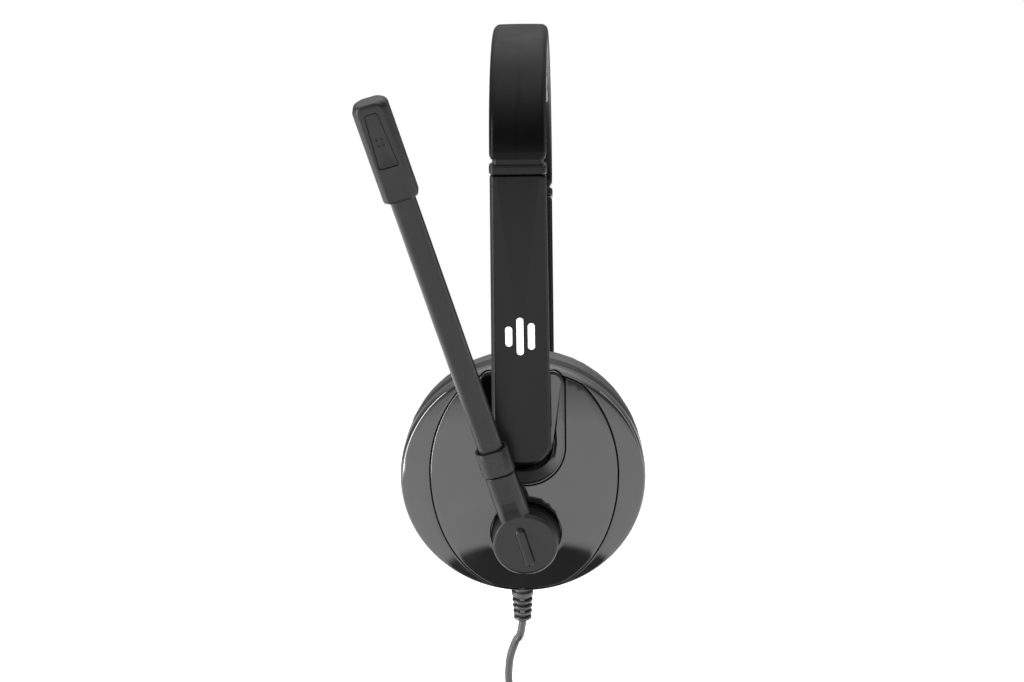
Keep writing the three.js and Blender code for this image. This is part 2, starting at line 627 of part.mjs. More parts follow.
/** The ribbed relief where the cord leaves the cup. */
function strainRelief(cup) {
  const NECK = [2.6, -34.2];
  const profile = [[0, NECK[1]], NECK, [2.6, -38.6], [3.4, -38.9], [3.4, -40.1]];
  for (let i = 0; i < 4; i++) {
    const top = -40.5 - i * 2;
    const r = 3.25 - i * 0.12;
    profile.push([2.5, top + 0.2], [2.5, top - 0.3], [r, top - 0.5], [r, top - 1.6]);
  }
  profile.push([1.9, RELIEF_LOW], [0, RELIEF_LOW]);
  const lathe = new THREE.LatheGeometry(profile.map(([r, z]) => new THREE.Vector2(r, z)), 10);
  const relief = facingOut(lathe.rotateX(90 * DEG).translate(GLAND.u, GLAND.v, 0));
  add(cup, "strain_relief", relief, FINISH.rubber);
}

/** The cord from the relief down to the coil that stores the rest of its length, with its plug. */
function cord(cup) {
  object.updateMatrixWorld(true);
  const start = cup.localToWorld(new THREE.Vector3(GLAND.u, GLAND.v, RELIEF_LOW - GAP));
  const down = new THREE.Vector3(-Math.sin(CUP_LEAN * DEG), 0, -Math.cos(CUP_LEAN * DEG));
  const atCoil = (x, y, z) => new THREE.Vector3(COIL.x + x, COIL.y + y, COIL.z + z);
  const route = new THREE.CatmullRomCurve3([
    start,
    start.clone().addScaledVector(down, 5).add(new THREE.Vector3(0, -0.9, 0)),
    ...LEAD_ROUTE.map((at) => atCoil(...at)),
    atCoil(LEAD_COLUMN, 0, COIL_MID_R + COIL_SECTION.radial + 3 * GAP),
  ]);
  const section = new THREE.Shape();
  section.absarc(0, 0, CORD_R, 0, 2 * Math.PI);
  const lead = new THREE.ExtrudeGeometry(section, {
    extrudePath: route, steps: 8, curveSegments: 8, bevelEnabled: false,
  });
  add(object, "cord_lead", facingOut(lead), FINISH.rubber);

  const { radial, across } = COIL_SECTION;
  const ring = roundedRect(radial, across, 3, 1).map(([o, x]) => [COIL_MID_R + o, x]);
  add(object, "cord_coil", turned(ring, 30).translate(COIL.x, COIL.y, COIL.z), FINISH.rubber);

  // A strap round the bundle of turns, a little way round from where the cord comes in.
  const TIE_HALF = 2;
  const strap = (grow, half) => {
    const outline = roundedRect(radial + grow, across + grow, 1.2, 1);
    return skin([-half, half].map((y) => outline.map(([o, x]) => new THREE.Vector3(x, y, COIL_MID_R + o))));
  };
  const tie = cut(strap(1.5, TIE_HALF), strap(0.6, TIE_HALF + 1));
  add(object, "cord_tie", tie.rotateX(-24 * DEG).translate(COIL.x, COIL.y, COIL.z), FINISH.rubber);

  // The plug hangs from the tie beside the coil: its moulded body, then the four-pole pin.
  const STRAP_OUT = 1.5;
  const PLUG_R = 3.1;
  const plugX = COIL.x + across + STRAP_OUT + PLUG_R + GAP;
  const plugTop = COIL.z + 12;
  const plug = (profile, name, finish) => {
    const lathe = new THREE.LatheGeometry(profile.map(([q, z]) => new THREE.Vector2(q, z)), 12);
    add(object, name, facingOut(lathe.rotateX(90 * DEG).translate(plugX, COIL.y, plugTop)), finish);
  };
  plug(
    [[0, 0], [1.7, 0], [2.2, -7], [PLUG_R, -8], [PLUG_R, -21], [2.7, -22], [0, -22]],
    "plug_body", FINISH.rubber,
  );
  plug(
    [[0, -22 - GAP], [1.75, -22 - GAP], [1.75, -33], [1.3, -33.8], [1.65, -35], [0.5, -36.3], [0, -36.4]],
    "plug_pin", FINISH.gold,
  );
}

// ---------- assembly ----------

headband();
for (const [side, mirror] of [["left", 1], ["right", -1]]) {
  const half = new THREE.Group();
  half.scale.x = mirror;
  object.add(half);

  const arm = new THREE.Group();
  arm.position.copy(ARM_ORIGIN);
  arm.rotation.y = lean;
  half.add(arm);
  sleeveCollar(arm, side);
  slidingArm(arm, side);

  const cup = new THREE.Group();
  cup.rotation.y = CUP_LEAN * DEG;
  cup.updateMatrix();
  const ball = new THREE.Vector3(BALL_IN_CUP.u, 0, BALL_IN_CUP.w).applyMatrix4(cup.matrix);
  cup.position.copy(ARM_ORIGIN).sub(ball);
  half.add(cup);
  const boomSide = side === "left";
  cupHousing(cup, side, boomSide);
  armPocket(cup, side);
  ballSocket(cup, side);
  cupInside(cup, side, boomSide);
  earCushion(cup, side);
  if (!boomSide) continue;

  hubBearing(cup);
  const boom = new THREE.Group();
  boom.position.set(0, HUB.v, HUB.w);
  boom.rotation.x = BOOM_ANGLE * DEG;
  cup.add(boom);
  microphoneBoom(boom);
  strainRelief(cup);
  cord(cup);
}

export default object;
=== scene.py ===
# An office headset: the looks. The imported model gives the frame, and every piece here is placed from it.
# Sizes are in millimetres until a piece is placed; the finished meshes are in metres, at the origin.
import json
import math

import bmesh
import bpy
from mathutils import Matrix, Vector, noise
from mathutils.geometry import delaunay_2d_cdt


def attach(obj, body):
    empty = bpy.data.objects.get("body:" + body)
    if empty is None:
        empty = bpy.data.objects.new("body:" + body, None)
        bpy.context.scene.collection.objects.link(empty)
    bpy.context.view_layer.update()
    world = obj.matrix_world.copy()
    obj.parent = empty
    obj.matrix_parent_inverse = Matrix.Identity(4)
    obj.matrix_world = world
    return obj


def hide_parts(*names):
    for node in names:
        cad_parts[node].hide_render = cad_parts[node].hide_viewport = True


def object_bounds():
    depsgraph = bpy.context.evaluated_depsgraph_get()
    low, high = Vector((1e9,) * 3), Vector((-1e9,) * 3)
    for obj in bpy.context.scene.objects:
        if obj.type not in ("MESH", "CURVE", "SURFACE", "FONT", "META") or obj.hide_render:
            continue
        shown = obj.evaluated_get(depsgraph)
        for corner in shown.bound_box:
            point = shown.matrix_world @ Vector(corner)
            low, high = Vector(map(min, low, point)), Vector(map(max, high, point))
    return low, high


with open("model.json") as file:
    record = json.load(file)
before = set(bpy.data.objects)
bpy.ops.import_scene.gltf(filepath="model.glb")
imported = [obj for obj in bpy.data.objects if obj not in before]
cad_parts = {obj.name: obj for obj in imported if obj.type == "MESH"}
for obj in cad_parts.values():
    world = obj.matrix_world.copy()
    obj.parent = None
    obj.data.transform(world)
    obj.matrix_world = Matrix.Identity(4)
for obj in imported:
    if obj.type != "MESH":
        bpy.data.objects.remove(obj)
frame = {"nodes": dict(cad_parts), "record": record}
CAD_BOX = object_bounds()
SCENE = bpy.context.scene
MM = 0.001

# ---------- where things are ----------

JOINTS = {joint["name"]: joint for joint in frame["record"]["behaviour"]["joints"]}
ACROSS = Vector((0, 1, 0))


def local_frame(origin, out, across, up):
    """A frame in millimetres: out, across and up are its axes."""
    turn = Matrix((out, across, up)).transposed().to_4x4()
    return Matrix.Translation(origin) @ turn


BALL = Vector(JOINTS["cup_left_tilt"]["pos_m"]) / MM
ARM_UP = -Vector(JOINTS["arm_left_slide"]["axis"]).normalized()
CUP_OUT = Vector(JOINTS["boom_swing"]["axis"]).normalized()
CUP_UP = CUP_OUT.cross(ACROSS)
BALL_U, BALL_W = -3.6, 19
CUP_MIDDLE = BALL - CUP_OUT * BALL_U - CUP_UP * BALL_W
HUB_V, HUB_W = 0.85, -15.2
BOOM_TURN = math.radians(16.2)

HEAD = Matrix.Identity(4)
ARM = local_frame(BALL, ACROSS.cross(ARM_UP), ACROSS, ARM_UP)
CUP = local_frame(CUP_MIDDLE, CUP_OUT, ACROSS, CUP_UP)
BOOM = CUP @ Matrix.Translation((0, HUB_V, HUB_W)) @ Matrix.Rotation(BOOM_TURN, 4, "X")

SIDES = {"left": 1, "right": -1}

# ---------- the headset's own sizes ----------

ARCH_HALF, ARCH_RISE = 72, 40.3
SLEEVE_WIDE, SLEEVE_THICK = 17, 6.4
PAD_THICK = 3.6
SPRING_OUT = 6.1
ARM_INNER, ARM_OUTER = 3.9, 8.3
ARM_TOP, ARM_END = 78.9, -11
LIP_TOP, SLEEVE_END = 82.1, 83.5
CUP_R, FACE_R = 38, 37
FACE_TOP, FACE_RIM = 4, -3
DOME_R = (FACE_R**2 + (FACE_TOP - FACE_RIM) ** 2) / (2 * (FACE_TOP - FACE_RIM))
HOUSING_BACK, FRAME_BACK = -8.5, -13.2
PANEL_THICK, PANEL_BED, PANEL_GAP = 1.4, 1.7, 0.35
PANEL_V, PANEL_W, PANEL_HALF, PANEL_ABOVE, PANEL_BELOW, PANEL_REACH = 0.5, 3.5, 28.8, 36.2, 41.5, 36.7
POCKET_BOTTOM, POCKET_TOP, POCKET_HALF = 1.5, 36.4, 13.3
POCKET_FLOOR = -4.4
GLAND_U, GLAND_V, GLAND_R = -6.2, -0.8, 3
HUB_R = 10.1
BOOM_U, BOOM_LEAN, BOOM_OFFSET = 8.1, math.radians(5.5), -0.6
HOLDER_END, COLLAR_END = 25.2, 33.9
HEAD_START, HEAD_END = 120, 151
CORD_R = 1.3
COIL = Vector((1, -5.4, -231))
COIL_R, COIL_RADIAL, COIL_ACROSS = 15.6, 5.4, 6.7

# ---------- camera ----------

LENS_RATIO = 2.734375  # focal length over the sensor's width
CAMERA_PLACE = (0.9031, 0.01984, -0.0911)
CAMERA_HEADING, CAMERA_ROLL = 1.514, -0.45  # degrees


def set_camera():
    data = bpy.data.cameras.new("studio_camera")
    data.sensor_width = 36
    data.lens = LENS_RATIO * data.sensor_width
    data.clip_start = 0.01
    camera = bpy.data.objects.new("studio_camera", data)
    camera.location = CAMERA_PLACE
    heading = math.radians(CAMERA_HEADING)
    look = Vector((-math.cos(heading), -math.sin(heading), 0))
    roll = Matrix.Rotation(math.radians(CAMERA_ROLL), 4, "Z")
    camera.rotation_euler = (look.to_track_quat("-Z", "Y").to_matrix().to_4x4() @ roll).to_euler()
    SCENE.collection.objects.link(camera)
    SCENE.camera = camera


set_camera()

# ---------- outlines ----------


def arc(a, b, radius, start, end, steps):
    """Points on an arc, in degrees from the first axis towards the second."""
    angles = [math.radians(start + (end - start) * i / steps) for i in range(steps + 1)]
    return [(a + radius * math.cos(t), b + radius * math.sin(t)) for t in angles]


def rounded(half_a, half_b, radius, steps=8):
    """A rounded rectangle about the origin."""
    a, b = half_a - radius, half_b - radius
    return (
        arc(a, b, radius, 0, 90, steps)
        + arc(-a, b, radius, 90, 180, steps)
        + arc(-a, -b, radius, 180, 270, steps)
        + arc(a, -b, radius, 270, 360, steps)
    )


def between(p, q, steps):
    """Points strictly between two points."""
    return [tuple(x + (y - x) * i / steps for x, y in zip(p, q)) for i in range(1, steps)]


def tongue(bottom, top, half_low, half_high, low_radius, high_radius):
    """A strap's outline with a rounded lower end, going once round."""
    low = arc(half_low - low_radius, bottom + low_radius, low_radius, -90, 0, 18)
    high = arc(half_high - high_radius, top - high_radius, high_radius, 0, 90, 6)
    right = low + between(low[-1], high[0], 24) + high
    left = [(-v, w) for v, w in reversed(right)]
    return right + left


def arm_outline(inset):
    return tongue(ARM_END + inset, ARM_TOP - inset * 0.3, 9 - inset, 8.45 - inset, 7 - inset, 0.8)


def pocket_outline(grow, top=POCKET_TOP):
    half = POCKET_HALF + grow
    return tongue(POCKET_BOTTOM - grow, top + grow, half, half, 12 + grow, 4)


def dome(r, depth=0.0):
    """Height of the cup's domed face at a distance from its middle."""
    reach = min(r, DOME_R - depth - 1)
    return FACE_TOP - DOME_R + math.sqrt((DOME_R - depth) ** 2 - reach**2)


def dome_over(v, w, depth=0.0):
    return dome(math.hypot(v, w), depth)


def panel_radius(angle):
    """Distance from the cup's middle to the gloss panel's egg-shaped edge."""
    low, high = 10.0, 50.0
    for _ in range(30):
        r = (low + high) / 2
        v, w = r * math.cos(angle) - PANEL_V, r * math.sin(angle) - PANEL_W
        tall = PANEL_ABOVE if w > 0 else PANEL_BELOW
        if (v / PANEL_HALF) ** 2 + (w / tall) ** 2 < 1:
            low = r
        else:
            high = r
    return min(low, PANEL_REACH)


# ---------- meshes ----------


def strips(rows, count, closed, loop=True, start=0):
    """Faces between matching rows of points; loop closes each row, and closed joins the last row to the first."""
    faces = []
    for i in range(rows if closed else rows - 1):
        a, b = start + i * count, start + (i + 1) % rows * count
        for j in range(count if loop else count - 1):
            k = (j + 1) % count
            faces.append((a + j, a + k, b + k, b + j))
    return faces


def skinned(rings, closed=False):
    """Points and faces over matching rings, capped at both ends unless the rings close on themselves."""
    count = len(rings[0])
    points = [Vector(p) for ring in rings for p in ring]
    faces = strips(len(rings), count, closed)
    if not closed:
        for start in (0, (len(rings) - 1) * count):
            middle = sum((points[start + j] for j in range(count)), Vector()) / count
            points.append(middle)
            for j in range(count):
                faces.append((start + j, start + (j + 1) % count, len(points) - 1))
    return points, faces


def turned(profile, segments=96, v=0.0, w=0.0, about="out"):
    """A shape turned from (radius, along) points that start and end on its axis, or close on themselves."""
    ring = profile[0][0] > 1e-9
    rings = []
    for i in range(segments):
        t = 2 * math.pi * i / segments
        row = []
        for r, along in profile:
            a, b = v + r * math.cos(t), w + r * math.sin(t)
            row.append((along, a, b) if about == "out" else (a, b, along))
        rings.append(row)
    points = [Vector(p) for row in rings for p in row]
    return points, strips(segments, len(profile), True, ring)


def softened(corners, steps=5):
    """A profile whose corners, given as (radius, along, rounding), are rounded off."""
    out = []
    for i, corner in enumerate(corners):
        at = Vector(corner[:2])
        rounding = corner[2] if len(corner) > 2 else 0
        if not rounding:
            out.append(tuple(at))
            continue
        before = Vector(corners[i - 1][:2]) - at
        after = Vector(corners[(i + 1) % len(corners)][:2]) - at
        reach = min(rounding, before.length * 0.49, after.length * 0.49)
        p, q = at + before.normalized() * reach, at + after.normalized() * reach
        for j in range(steps + 1):
            t = j / steps
            out.append(tuple(p * (1 - t) ** 2 + at * 2 * t * (1 - t) + q * t * t))
    return out


def placed(shape, place, side=1):
    """The shape's points as a mesh in metres, in the headset's frame, facing outwards."""
    points, faces = shape
    mesh = bpy.data.meshes.new("shape")
    world = [place @ p * MM for p in points]
    mesh.from_pydata([(p.x * side, p.y, p.z) for p in world], [], faces)
    bm = bmesh.new()
    bm.from_mesh(mesh)
    bmesh.ops.remove_doubles(bm, verts=bm.verts, dist=1e-7)
    bmesh.ops.dissolve_degenerate(bm, edges=bm.edges, dist=1e-7)
    bmesh.ops.recalc_face_normals(bm, faces=bm.faces)
    bm.to_mesh(mesh)
    bm.free()
    return mesh


def several(*shapes):
    """One shape of separate closed parts."""
    points, faces = [], []
    for more_points, more_faces in shapes:
        start = len(points)
        points += more_points
        faces += [tuple(start + i for i in face) for face in more_faces]
    return points, faces


def trial(mesh):
    piece = bpy.data.objects.new("trial", mesh)
    SCENE.collection.objects.link(piece)
    return piece


def evaluated(piece):
    """The mesh of a trial object with its modifiers, and the trial is removed."""
    bpy.context.view_layer.update()
    graph = bpy.context.evaluated_depsgraph_get()
    mesh = bpy.data.meshes.new_from_object(piece.evaluated_get(graph))
    bpy.data.objects.remove(piece)
    return mesh


def combined(mesh, tools, operation="DIFFERENCE"):
    """The mesh cut by, or joined to, the tools."""
    base = trial(mesh)
    helpers = [trial(tool) for tool in tools]
    for helper in helpers:
        step = base.modifiers.new("combine", "BOOLEAN")
        step.operation = operation
        step.solver = "EXACT"
        step.object = helper
    result = evaluated(base)
    for helper in helpers:
        bpy.data.objects.remove(helper)
    return result


def moulded(meshes, voxel, rounds):
    """Overlapping closed meshes run together into one moulding with softened inner corners."""
    base = trial(combined(meshes[0], meshes[1:], "UNION"))
    step = base.modifiers.new("flow", "REMESH")
    step.mode = "VOXEL"
    step.voxel_size = voxel * MM
    ease = base.modifiers.new("ease", "SMOOTH")
    ease.factor = 0.5
    ease.iterations = rounds
    return evaluated(base)


def finished(name, mesh, material, body, stands_for=(), crease=38):
    """A finished piece, smooth but for its sharp edges, riding on its body."""
    mesh.name = name
    mesh.materials.clear()
    mesh.materials.append(MATERIALS[material])
    mesh.shade_smooth()
    mesh.set_sharp_from_angle(angle=math.radians(crease))
    piece = bpy.data.objects.new(name, mesh)
    SCENE.collection.objects.link(piece)
    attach(piece, body)
    if stands_for:
        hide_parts(*stands_for)
    return piece


# ---------- materials ----------


def node(tree, kind, inputs=None, **settings):
    """A node with its settings, its inputs given as values or as the sockets that feed them."""
    made = tree.nodes.new(kind)
    for key, value in settings.items():
        setattr(made, key, value)
    for key, value in (inputs or {}).items():
        if isinstance(value, bpy.types.NodeSocket):
            tree.links.new(value, made.inputs[key])
        else:
            made.inputs[key].default_value = value
    return made


def number(tree, first, second, operation):
    return node(tree, "ShaderNodeMath", {0: first, 1: second}, operation=operation).outputs[0]


def object_coords(tree):
    return node(tree, "ShaderNodeTexCoord").outputs["Object"]


def effect(name, inputs, outputs):
    """An empty shader group with named number inputs and outputs."""
    tree = bpy.data.node_groups.new(name, "ShaderNodeTree")
    for label, value in inputs.items():
        socket = tree.interface.new_socket(name=label, in_out="INPUT", socket_type="NodeSocketFloat")
        socket.default_value = value
    for label in outputs:
        tree.interface.new_socket(name=label, in_out="OUTPUT", socket_type="NodeSocketFloat")
    return tree, tree.nodes.new("NodeGroupInput"), tree.nodes.new("NodeGroupOutput")


def spread(tree, value, low, high):
    """A value's share of the way from low to high, kept within 0 and 1."""
    return node(tree, "ShaderNodeMapRange", {"Value": value, "From Min": low, "From Max": high}).outputs[0]


def grain_effect():
    """Moulded grain as a height, and broad uneven patches as a mask."""
    tree, entry, leave = effect("moulded_grain", {"Grain Scale": 5000, "Patch Scale": 60}, ["Height", "Patches"])
    coords = object_coords(tree)
    fine = node(tree, "ShaderNodeTexNoise", {
        "Vector": coords, "Scale": entry.outputs["Grain Scale"], "Detail": 2, "Roughness": 0.6})
    broad = node(tree, "ShaderNodeTexNoise", {
        "Vector": coords, "Scale": entry.outputs["Patch Scale"], "Detail": 4, "Roughness": 0.65})
    tree.links.new(fine.outputs[0], leave.inputs["Height"])
    tree.links.new(spread(tree, broad.outputs[0], 0.35, 0.7), leave.inputs["Patches"])
    return tree


def wear_effect():
    """Rubbed outer edges, broken up so that the wear is uneven."""
    tree, entry, leave = effect("rubbed_edges", {"Reach": 0.06, "Break Scale": 700}, ["Wear"])
    coords = object_coords(tree)
    point = node(tree, "ShaderNodeNewGeometry").outputs["Pointiness"]
    high = number(tree, entry.outputs["Reach"], 0.5, "ADD")
    edge = node(tree, "ShaderNodeMapRange", {"Value": point, "From Min": 0.505, "From Max": high}).outputs[0]
    broken = node(tree, "ShaderNodeTexNoise", {
        "Vector": coords, "Scale": entry.outputs["Break Scale"], "Detail": 3})
    uneven = spread(tree, broken.outputs[0], 0.4, 0.6)
    tree.links.new(number(tree, edge, uneven, "MULTIPLY"), leave.inputs["Wear"])
    return tree


def dust_effect():
    """A sparse settled dust as a mask."""
    tree, entry, leave = effect("fine_dust", {"Speck Scale": 2600, "Amount": 0.5}, ["Dust"])
    coords = object_coords(tree)
    specks = node(tree, "ShaderNodeTexVoronoi", {"Vector": coords, "Scale": entry.outputs["Speck Scale"]})
    near = spread(tree, specks.outputs["Distance"], 0.12, 0.04)
    film = node(tree, "ShaderNodeTexNoise", {"Vector": coords, "Scale": 35, "Detail": 3})
    where = spread(tree, film.outputs[0], 0.5, 0.75)
    both = number(tree, near, where, "MULTIPLY")
    tree.links.new(number(tree, both, entry.outputs["Amount"], "MULTIPLY"), leave.inputs["Dust"])
    return tree


GRAIN, WEAR, DUST = grain_effect(), wear_effect(), dust_effect()
DUST_COLOUR = (0.16, 0.155, 0.15)


def shade(colour, times):
    return tuple(min(1.0, c * times) for c in colour) + (1.0,)


def mixed(tree, mask, first, second):
    mix = node(tree, "ShaderNodeMix", {"Factor": mask}, data_type="RGBA")
    for socket, value in ((mix.inputs[6], first), (mix.inputs[7], second)):
        if isinstance(value, bpy.types.NodeSocket):
            tree.links.new(value, socket)
        else:
            socket.default_value = value
    return mix.outputs[2]


def blank(name, metallic=0.0, specular=0.5):
    material = bpy.data.materials.new(name)
    material.use_nodes = True
    tree = material.node_tree
    shader = tree.nodes["Principled BSDF"]
    shader.inputs["Metallic"].default_value = metallic
    shader.inputs["Specular IOR Level"].default_value = specular
    return material, tree, shader


def placed_effect(tree, group, values):
    made = tree.nodes.new("ShaderNodeGroup")
    made.node_tree = group
    for label, value in values.items():
        made.inputs[label].default_value = value
    return made.outputs


def bumped(tree, shader, height, strength, distance):
    relief = node(tree, "ShaderNodeBump", {"Height": height, "Strength": strength, "Distance": distance})
    tree.links.new(relief.outputs[0], shader.inputs["Normal"])


def patchy_gloss(tree, shader, patches, low, high):
    gloss = node(tree, "ShaderNodeMapRange", {"Value": patches, "To Min": low, "To Max": high})
    tree.links.new(gloss.outputs[0], shader.inputs["Roughness"])


def moulding(name, colour, roughness, grain, bump, uneven=0.06, wear=0.3, metallic=0.0, dust=0.25, specular=0.5):
    """A moulded or metal finish: grained, a little uneven in gloss, rubbed at its edges and faintly dusty."""
    material, tree, shader = blank(name, metallic, specular)
    surface = placed_effect(tree, GRAIN, {"Grain Scale": grain, "Patch Scale": 70})
    rubbed = placed_effect(tree, WEAR, {"Reach": 0.07})["Wear"]
    worn = number(tree, rubbed, wear, "MULTIPLY")
    dusty = placed_effect(tree, DUST, {"Amount": dust})["Dust"]
    patched = mixed(tree, surface["Patches"], shade(colour, 0.88), shade(colour, 1.14))
    edged = mixed(tree, worn, patched, shade(colour, 2.6 if metallic == 0 else 1.3))
    tree.links.new(mixed(tree, dusty, edged, DUST_COLOUR + (1,)), shader.inputs["Base Color"])
    patchy_gloss(tree, shader, surface["Patches"], roughness - uneven / 2, roughness + uneven)
    bumped(tree, shader, surface["Height"], bump, 0.00003)
    return material


def leatherette():
    """Thin coated cloth: small pebbles, finer creases and a soft sheen on the high spots."""
    material, tree, shader = blank("leatherette")
    coords = object_coords(tree)
    pebbles = node(tree, "ShaderNodeTexVoronoi", {"Vector": coords, "Scale": 1300}, feature="SMOOTH_F1")
    creases = node(tree, "ShaderNodeTexNoise", {"Vector": coords, "Scale": 420, "Detail": 5, "Distortion": 0.6})
    bumped(tree, shader, number(tree, pebbles.outputs["Distance"], creases.outputs[0], "ADD"), 0.35, 0.00012)
    surface = placed_effect(tree, GRAIN, {"Grain Scale": 3000, "Patch Scale": 45})
    colour = mixed(tree, surface["Patches"], (0.011, 0.011, 0.012, 1), (0.019, 0.019, 0.02, 1))
    tree.links.new(colour, shader.inputs["Base Color"])
    patchy_gloss(tree, shader, surface["Patches"], 0.4, 0.56)
    return material


def knit():
    """Open acoustic cloth, woven square in the cup's own plane."""
    material, tree, shader = blank("knit", specular=0.2)
    coords = object_coords(tree)
    lean = math.asin(CUP_UP.x)
    flat = node(tree, "ShaderNodeMapping", {"Vector": coords, "Rotation": (0, -lean, 0)}).outputs[0]
    threads = [
        node(tree, "ShaderNodeTexWave", {"Vector": flat, "Scale": 620, "Distortion": 0.4}, bands_direction=way)
        for way in ("Y", "Z")
    ]
    cloth = number(tree, threads[0].outputs[1], threads[1].outputs[1], "MULTIPLY")
    tree.links.new(mixed(tree, cloth, (0.006, 0.006, 0.006, 1), (0.035, 0.035, 0.037, 1)),
                   shader.inputs["Base Color"])
    bumped(tree, shader, cloth, 0.8, 0.0002)
    shader.inputs["Roughness"].default_value = 0.9
    return material


MATERIALS = {
    "gloss": moulding("gloss_black", (0.011, 0.011, 0.0115), 0.07, 900, 0.03, 0.04, 0.1, dust=0.12),
    "satin": moulding("satin_black", (0.005, 0.005, 0.0053), 0.32, 5200, 0.2, 0.08, 0.3, specular=0.1),
    "boom": moulding("boom_black", (0.008, 0.008, 0.0085), 0.36, 4200, 0.25, 0.08, 0.3, specular=0.18),
    "sleeve": moulding("soft_black", (0.002, 0.002, 0.0022), 0.34, 3800, 0.2, 0.08, 0.15, specular=0.05),
    "jacket": moulding("cord_black", (0.016, 0.016, 0.0165), 0.45, 3500, 0.3, 0.1, 0.2),
    "leatherette": leatherette(),
    "knit": knit(),
    "foam": moulding("open_foam", (0.02, 0.02, 0.021), 0.95, 1500, 1.0, 0.03, 0.0),
    "steel": moulding("brushed_steel", (0.115, 0.117, 0.12), 0.34, 2600, 0.15, 0.12, 0.2, metallic=1.0),
    "gold": moulding("gold_flash", (0.24, 0.175, 0.07), 0.24, 2600, 0.05, 0.08, 0.2, metallic=1.0),
    "film": moulding("amber_film", (0.45, 0.3, 0.12), 0.25, 2000, 0.05, 0.05, 0.0),
    "print": moulding("white_print", (0.8, 0.8, 0.8), 0.45, 5000, 0.1, 0.05, 0.0, dust=0.0),
    "thread": moulding("black_thread", (0.02, 0.02, 0.021), 0.6, 6000, 0.6, 0.05, 0.0),
}

CARRIED_OVER = {
    "spring_band": "steel", "detent_leaf": "steel", "ball_stud": "steel", "socket_cap": "satin",
    "ball_socket": "satin", "case_screw": "steel", "driver_basket": "satin", "driver_magnet": "steel",
    "driver_diaphragm": "film", "hub_clip": "steel", "mic_foam": "foam", "mic_capsule": "steel",
}


def finish_hidden_works():
    """The inner works keep their own shape and take the finish they are made in."""
    for name, part in frame["nodes"].items():
        kind = next((k for k in CARRIED_OVER if name.startswith(k)), None)
        if kind is None:
            continue
        part.data.materials.clear()
        part.data.materials.append(MATERIALS[CARRIED_OVER[kind]])


finish_hidden_works()

# ---------- repeated small parts ----------


def repeat_tree(name, inputs):
    """A geometry tree with named inputs, and the node that carries them."""
    tree = bpy.data.node_groups.new(name, "GeometryNodeTree")
    kinds = {int: "NodeSocketInt", float: "NodeSocketFloat"}
    for label, value in inputs.items():
        socket = tree.interface.new_socket(name=label, in_out="INPUT", socket_type=kinds[type(value)])
        socket.default_value = value
    tree.interface.new_socket(name="Finish", in_out="INPUT", socket_type="NodeSocketMaterial")
    tree.interface.new_socket(name="Geometry", in_out="OUTPUT", socket_type="NodeSocketGeometry")
    return tree, tree.nodes.new("NodeGroupInput")


def close_tree(tree, entry, instances):
    """Realise the instances and give them the finish."""
    real = node(tree, "GeometryNodeRealizeInstances", {"Geometry": instances}).outputs[0]
    dressed = node(tree, "GeometryNodeSetMaterial", {"Geometry": real, "Material": entry.outputs["Finish"]})
    leave = tree.nodes.new("NodeGroupOutput")
    tree.links.new(dressed.outputs[0], leave.inputs[0])
    return tree


def triple(tree, x, y, z):
    return node(tree, "ShaderNodeCombineXYZ", {0: x, 1: y, 2: z}).outputs[0]


def stitch_tree():
    """Stitches laid end to end round a ring."""
    tree, entry = repeat_tree("ring_of_stitches", {
        "Ring Radius": 20.0, "Stitch Count": 40, "Stitch Length": 1.2, "Thread": 0.3})
    circle = node(tree, "GeometryNodeCurvePrimitiveCircle", {
        "Resolution": 128, "Radius": entry.outputs["Ring Radius"]}).outputs[0]
    spots = node(tree, "GeometryNodeCurveToPoints", {
        "Curve": circle, "Count": entry.outputs["Stitch Count"]}, mode="COUNT")
    half = number(tree, entry.outputs["Stitch Length"], 2.0, "DIVIDE")
    thin = number(tree, entry.outputs["Thread"], 2.0, "DIVIDE")
    bead = node(tree, "GeometryNodeMeshUVSphere", {"Segments": 8, "Rings": 6, "Radius": 1.0}).outputs[0]
    stitch = node(tree, "GeometryNodeTransform", {
        "Geometry": bead, "Scale": triple(tree, thin, thin, half)}).outputs[0]
    laid = node(tree, "GeometryNodeInstanceOnPoints", {
        "Points": spots.outputs["Points"], "Instance": stitch, "Rotation": spots.outputs["Rotation"]})
    return close_tree(tree, entry, laid.outputs[0])


def screw_tree():
    """Domed screw heads in a row, each with a cross recess."""
    tree, entry = repeat_tree("row_of_screws", {
        "Screw Count": 2, "Screw Pitch": 9.0, "Head Radius": 1.9, "Head Height": 0.8, "Slot": 0.42})
    row = node(tree, "GeometryNodeMeshLine", {
        "Count": entry.outputs["Screw Count"], "Offset": triple(tree, entry.outputs["Screw Pitch"], 0.0, 0.0)})
    head = node(tree, "GeometryNodeMeshUVSphere", {"Segments": 40, "Rings": 20, "Radius": 1.0}).outputs[0]
    wide = entry.outputs["Head Radius"]
    domed = node(tree, "GeometryNodeTransform", {
        "Geometry": head, "Scale": triple(tree, wide, wide, entry.outputs["Head Height"])}).outputs[0]
    reach = number(tree, wide, 1.25, "MULTIPLY")
    slots = []
    for sizes in ((reach, entry.outputs["Slot"]), (entry.outputs["Slot"], reach)):
        bar = node(tree, "GeometryNodeMeshCube", {"Size": triple(tree, *sizes, entry.outputs["Head Height"])})
        up = triple(tree, 0.0, 0.0, entry.outputs["Head Height"])
        slots.append(node(tree, "GeometryNodeTransform", {"Geometry": bar.outputs[0], "Translation": up}).outputs[0])
    cut = node(tree, "GeometryNodeMeshBoolean", {"Mesh 1": domed}, operation="DIFFERENCE")
    for slot in slots:
        tree.links.new(slot, cut.inputs["Mesh 2"])
    placed_heads = node(tree, "GeometryNodeInstanceOnPoints", {
        "Points": row.outputs[0], "Instance": cut.outputs[0]})
    return close_tree(tree, entry, placed_heads.outputs[0])


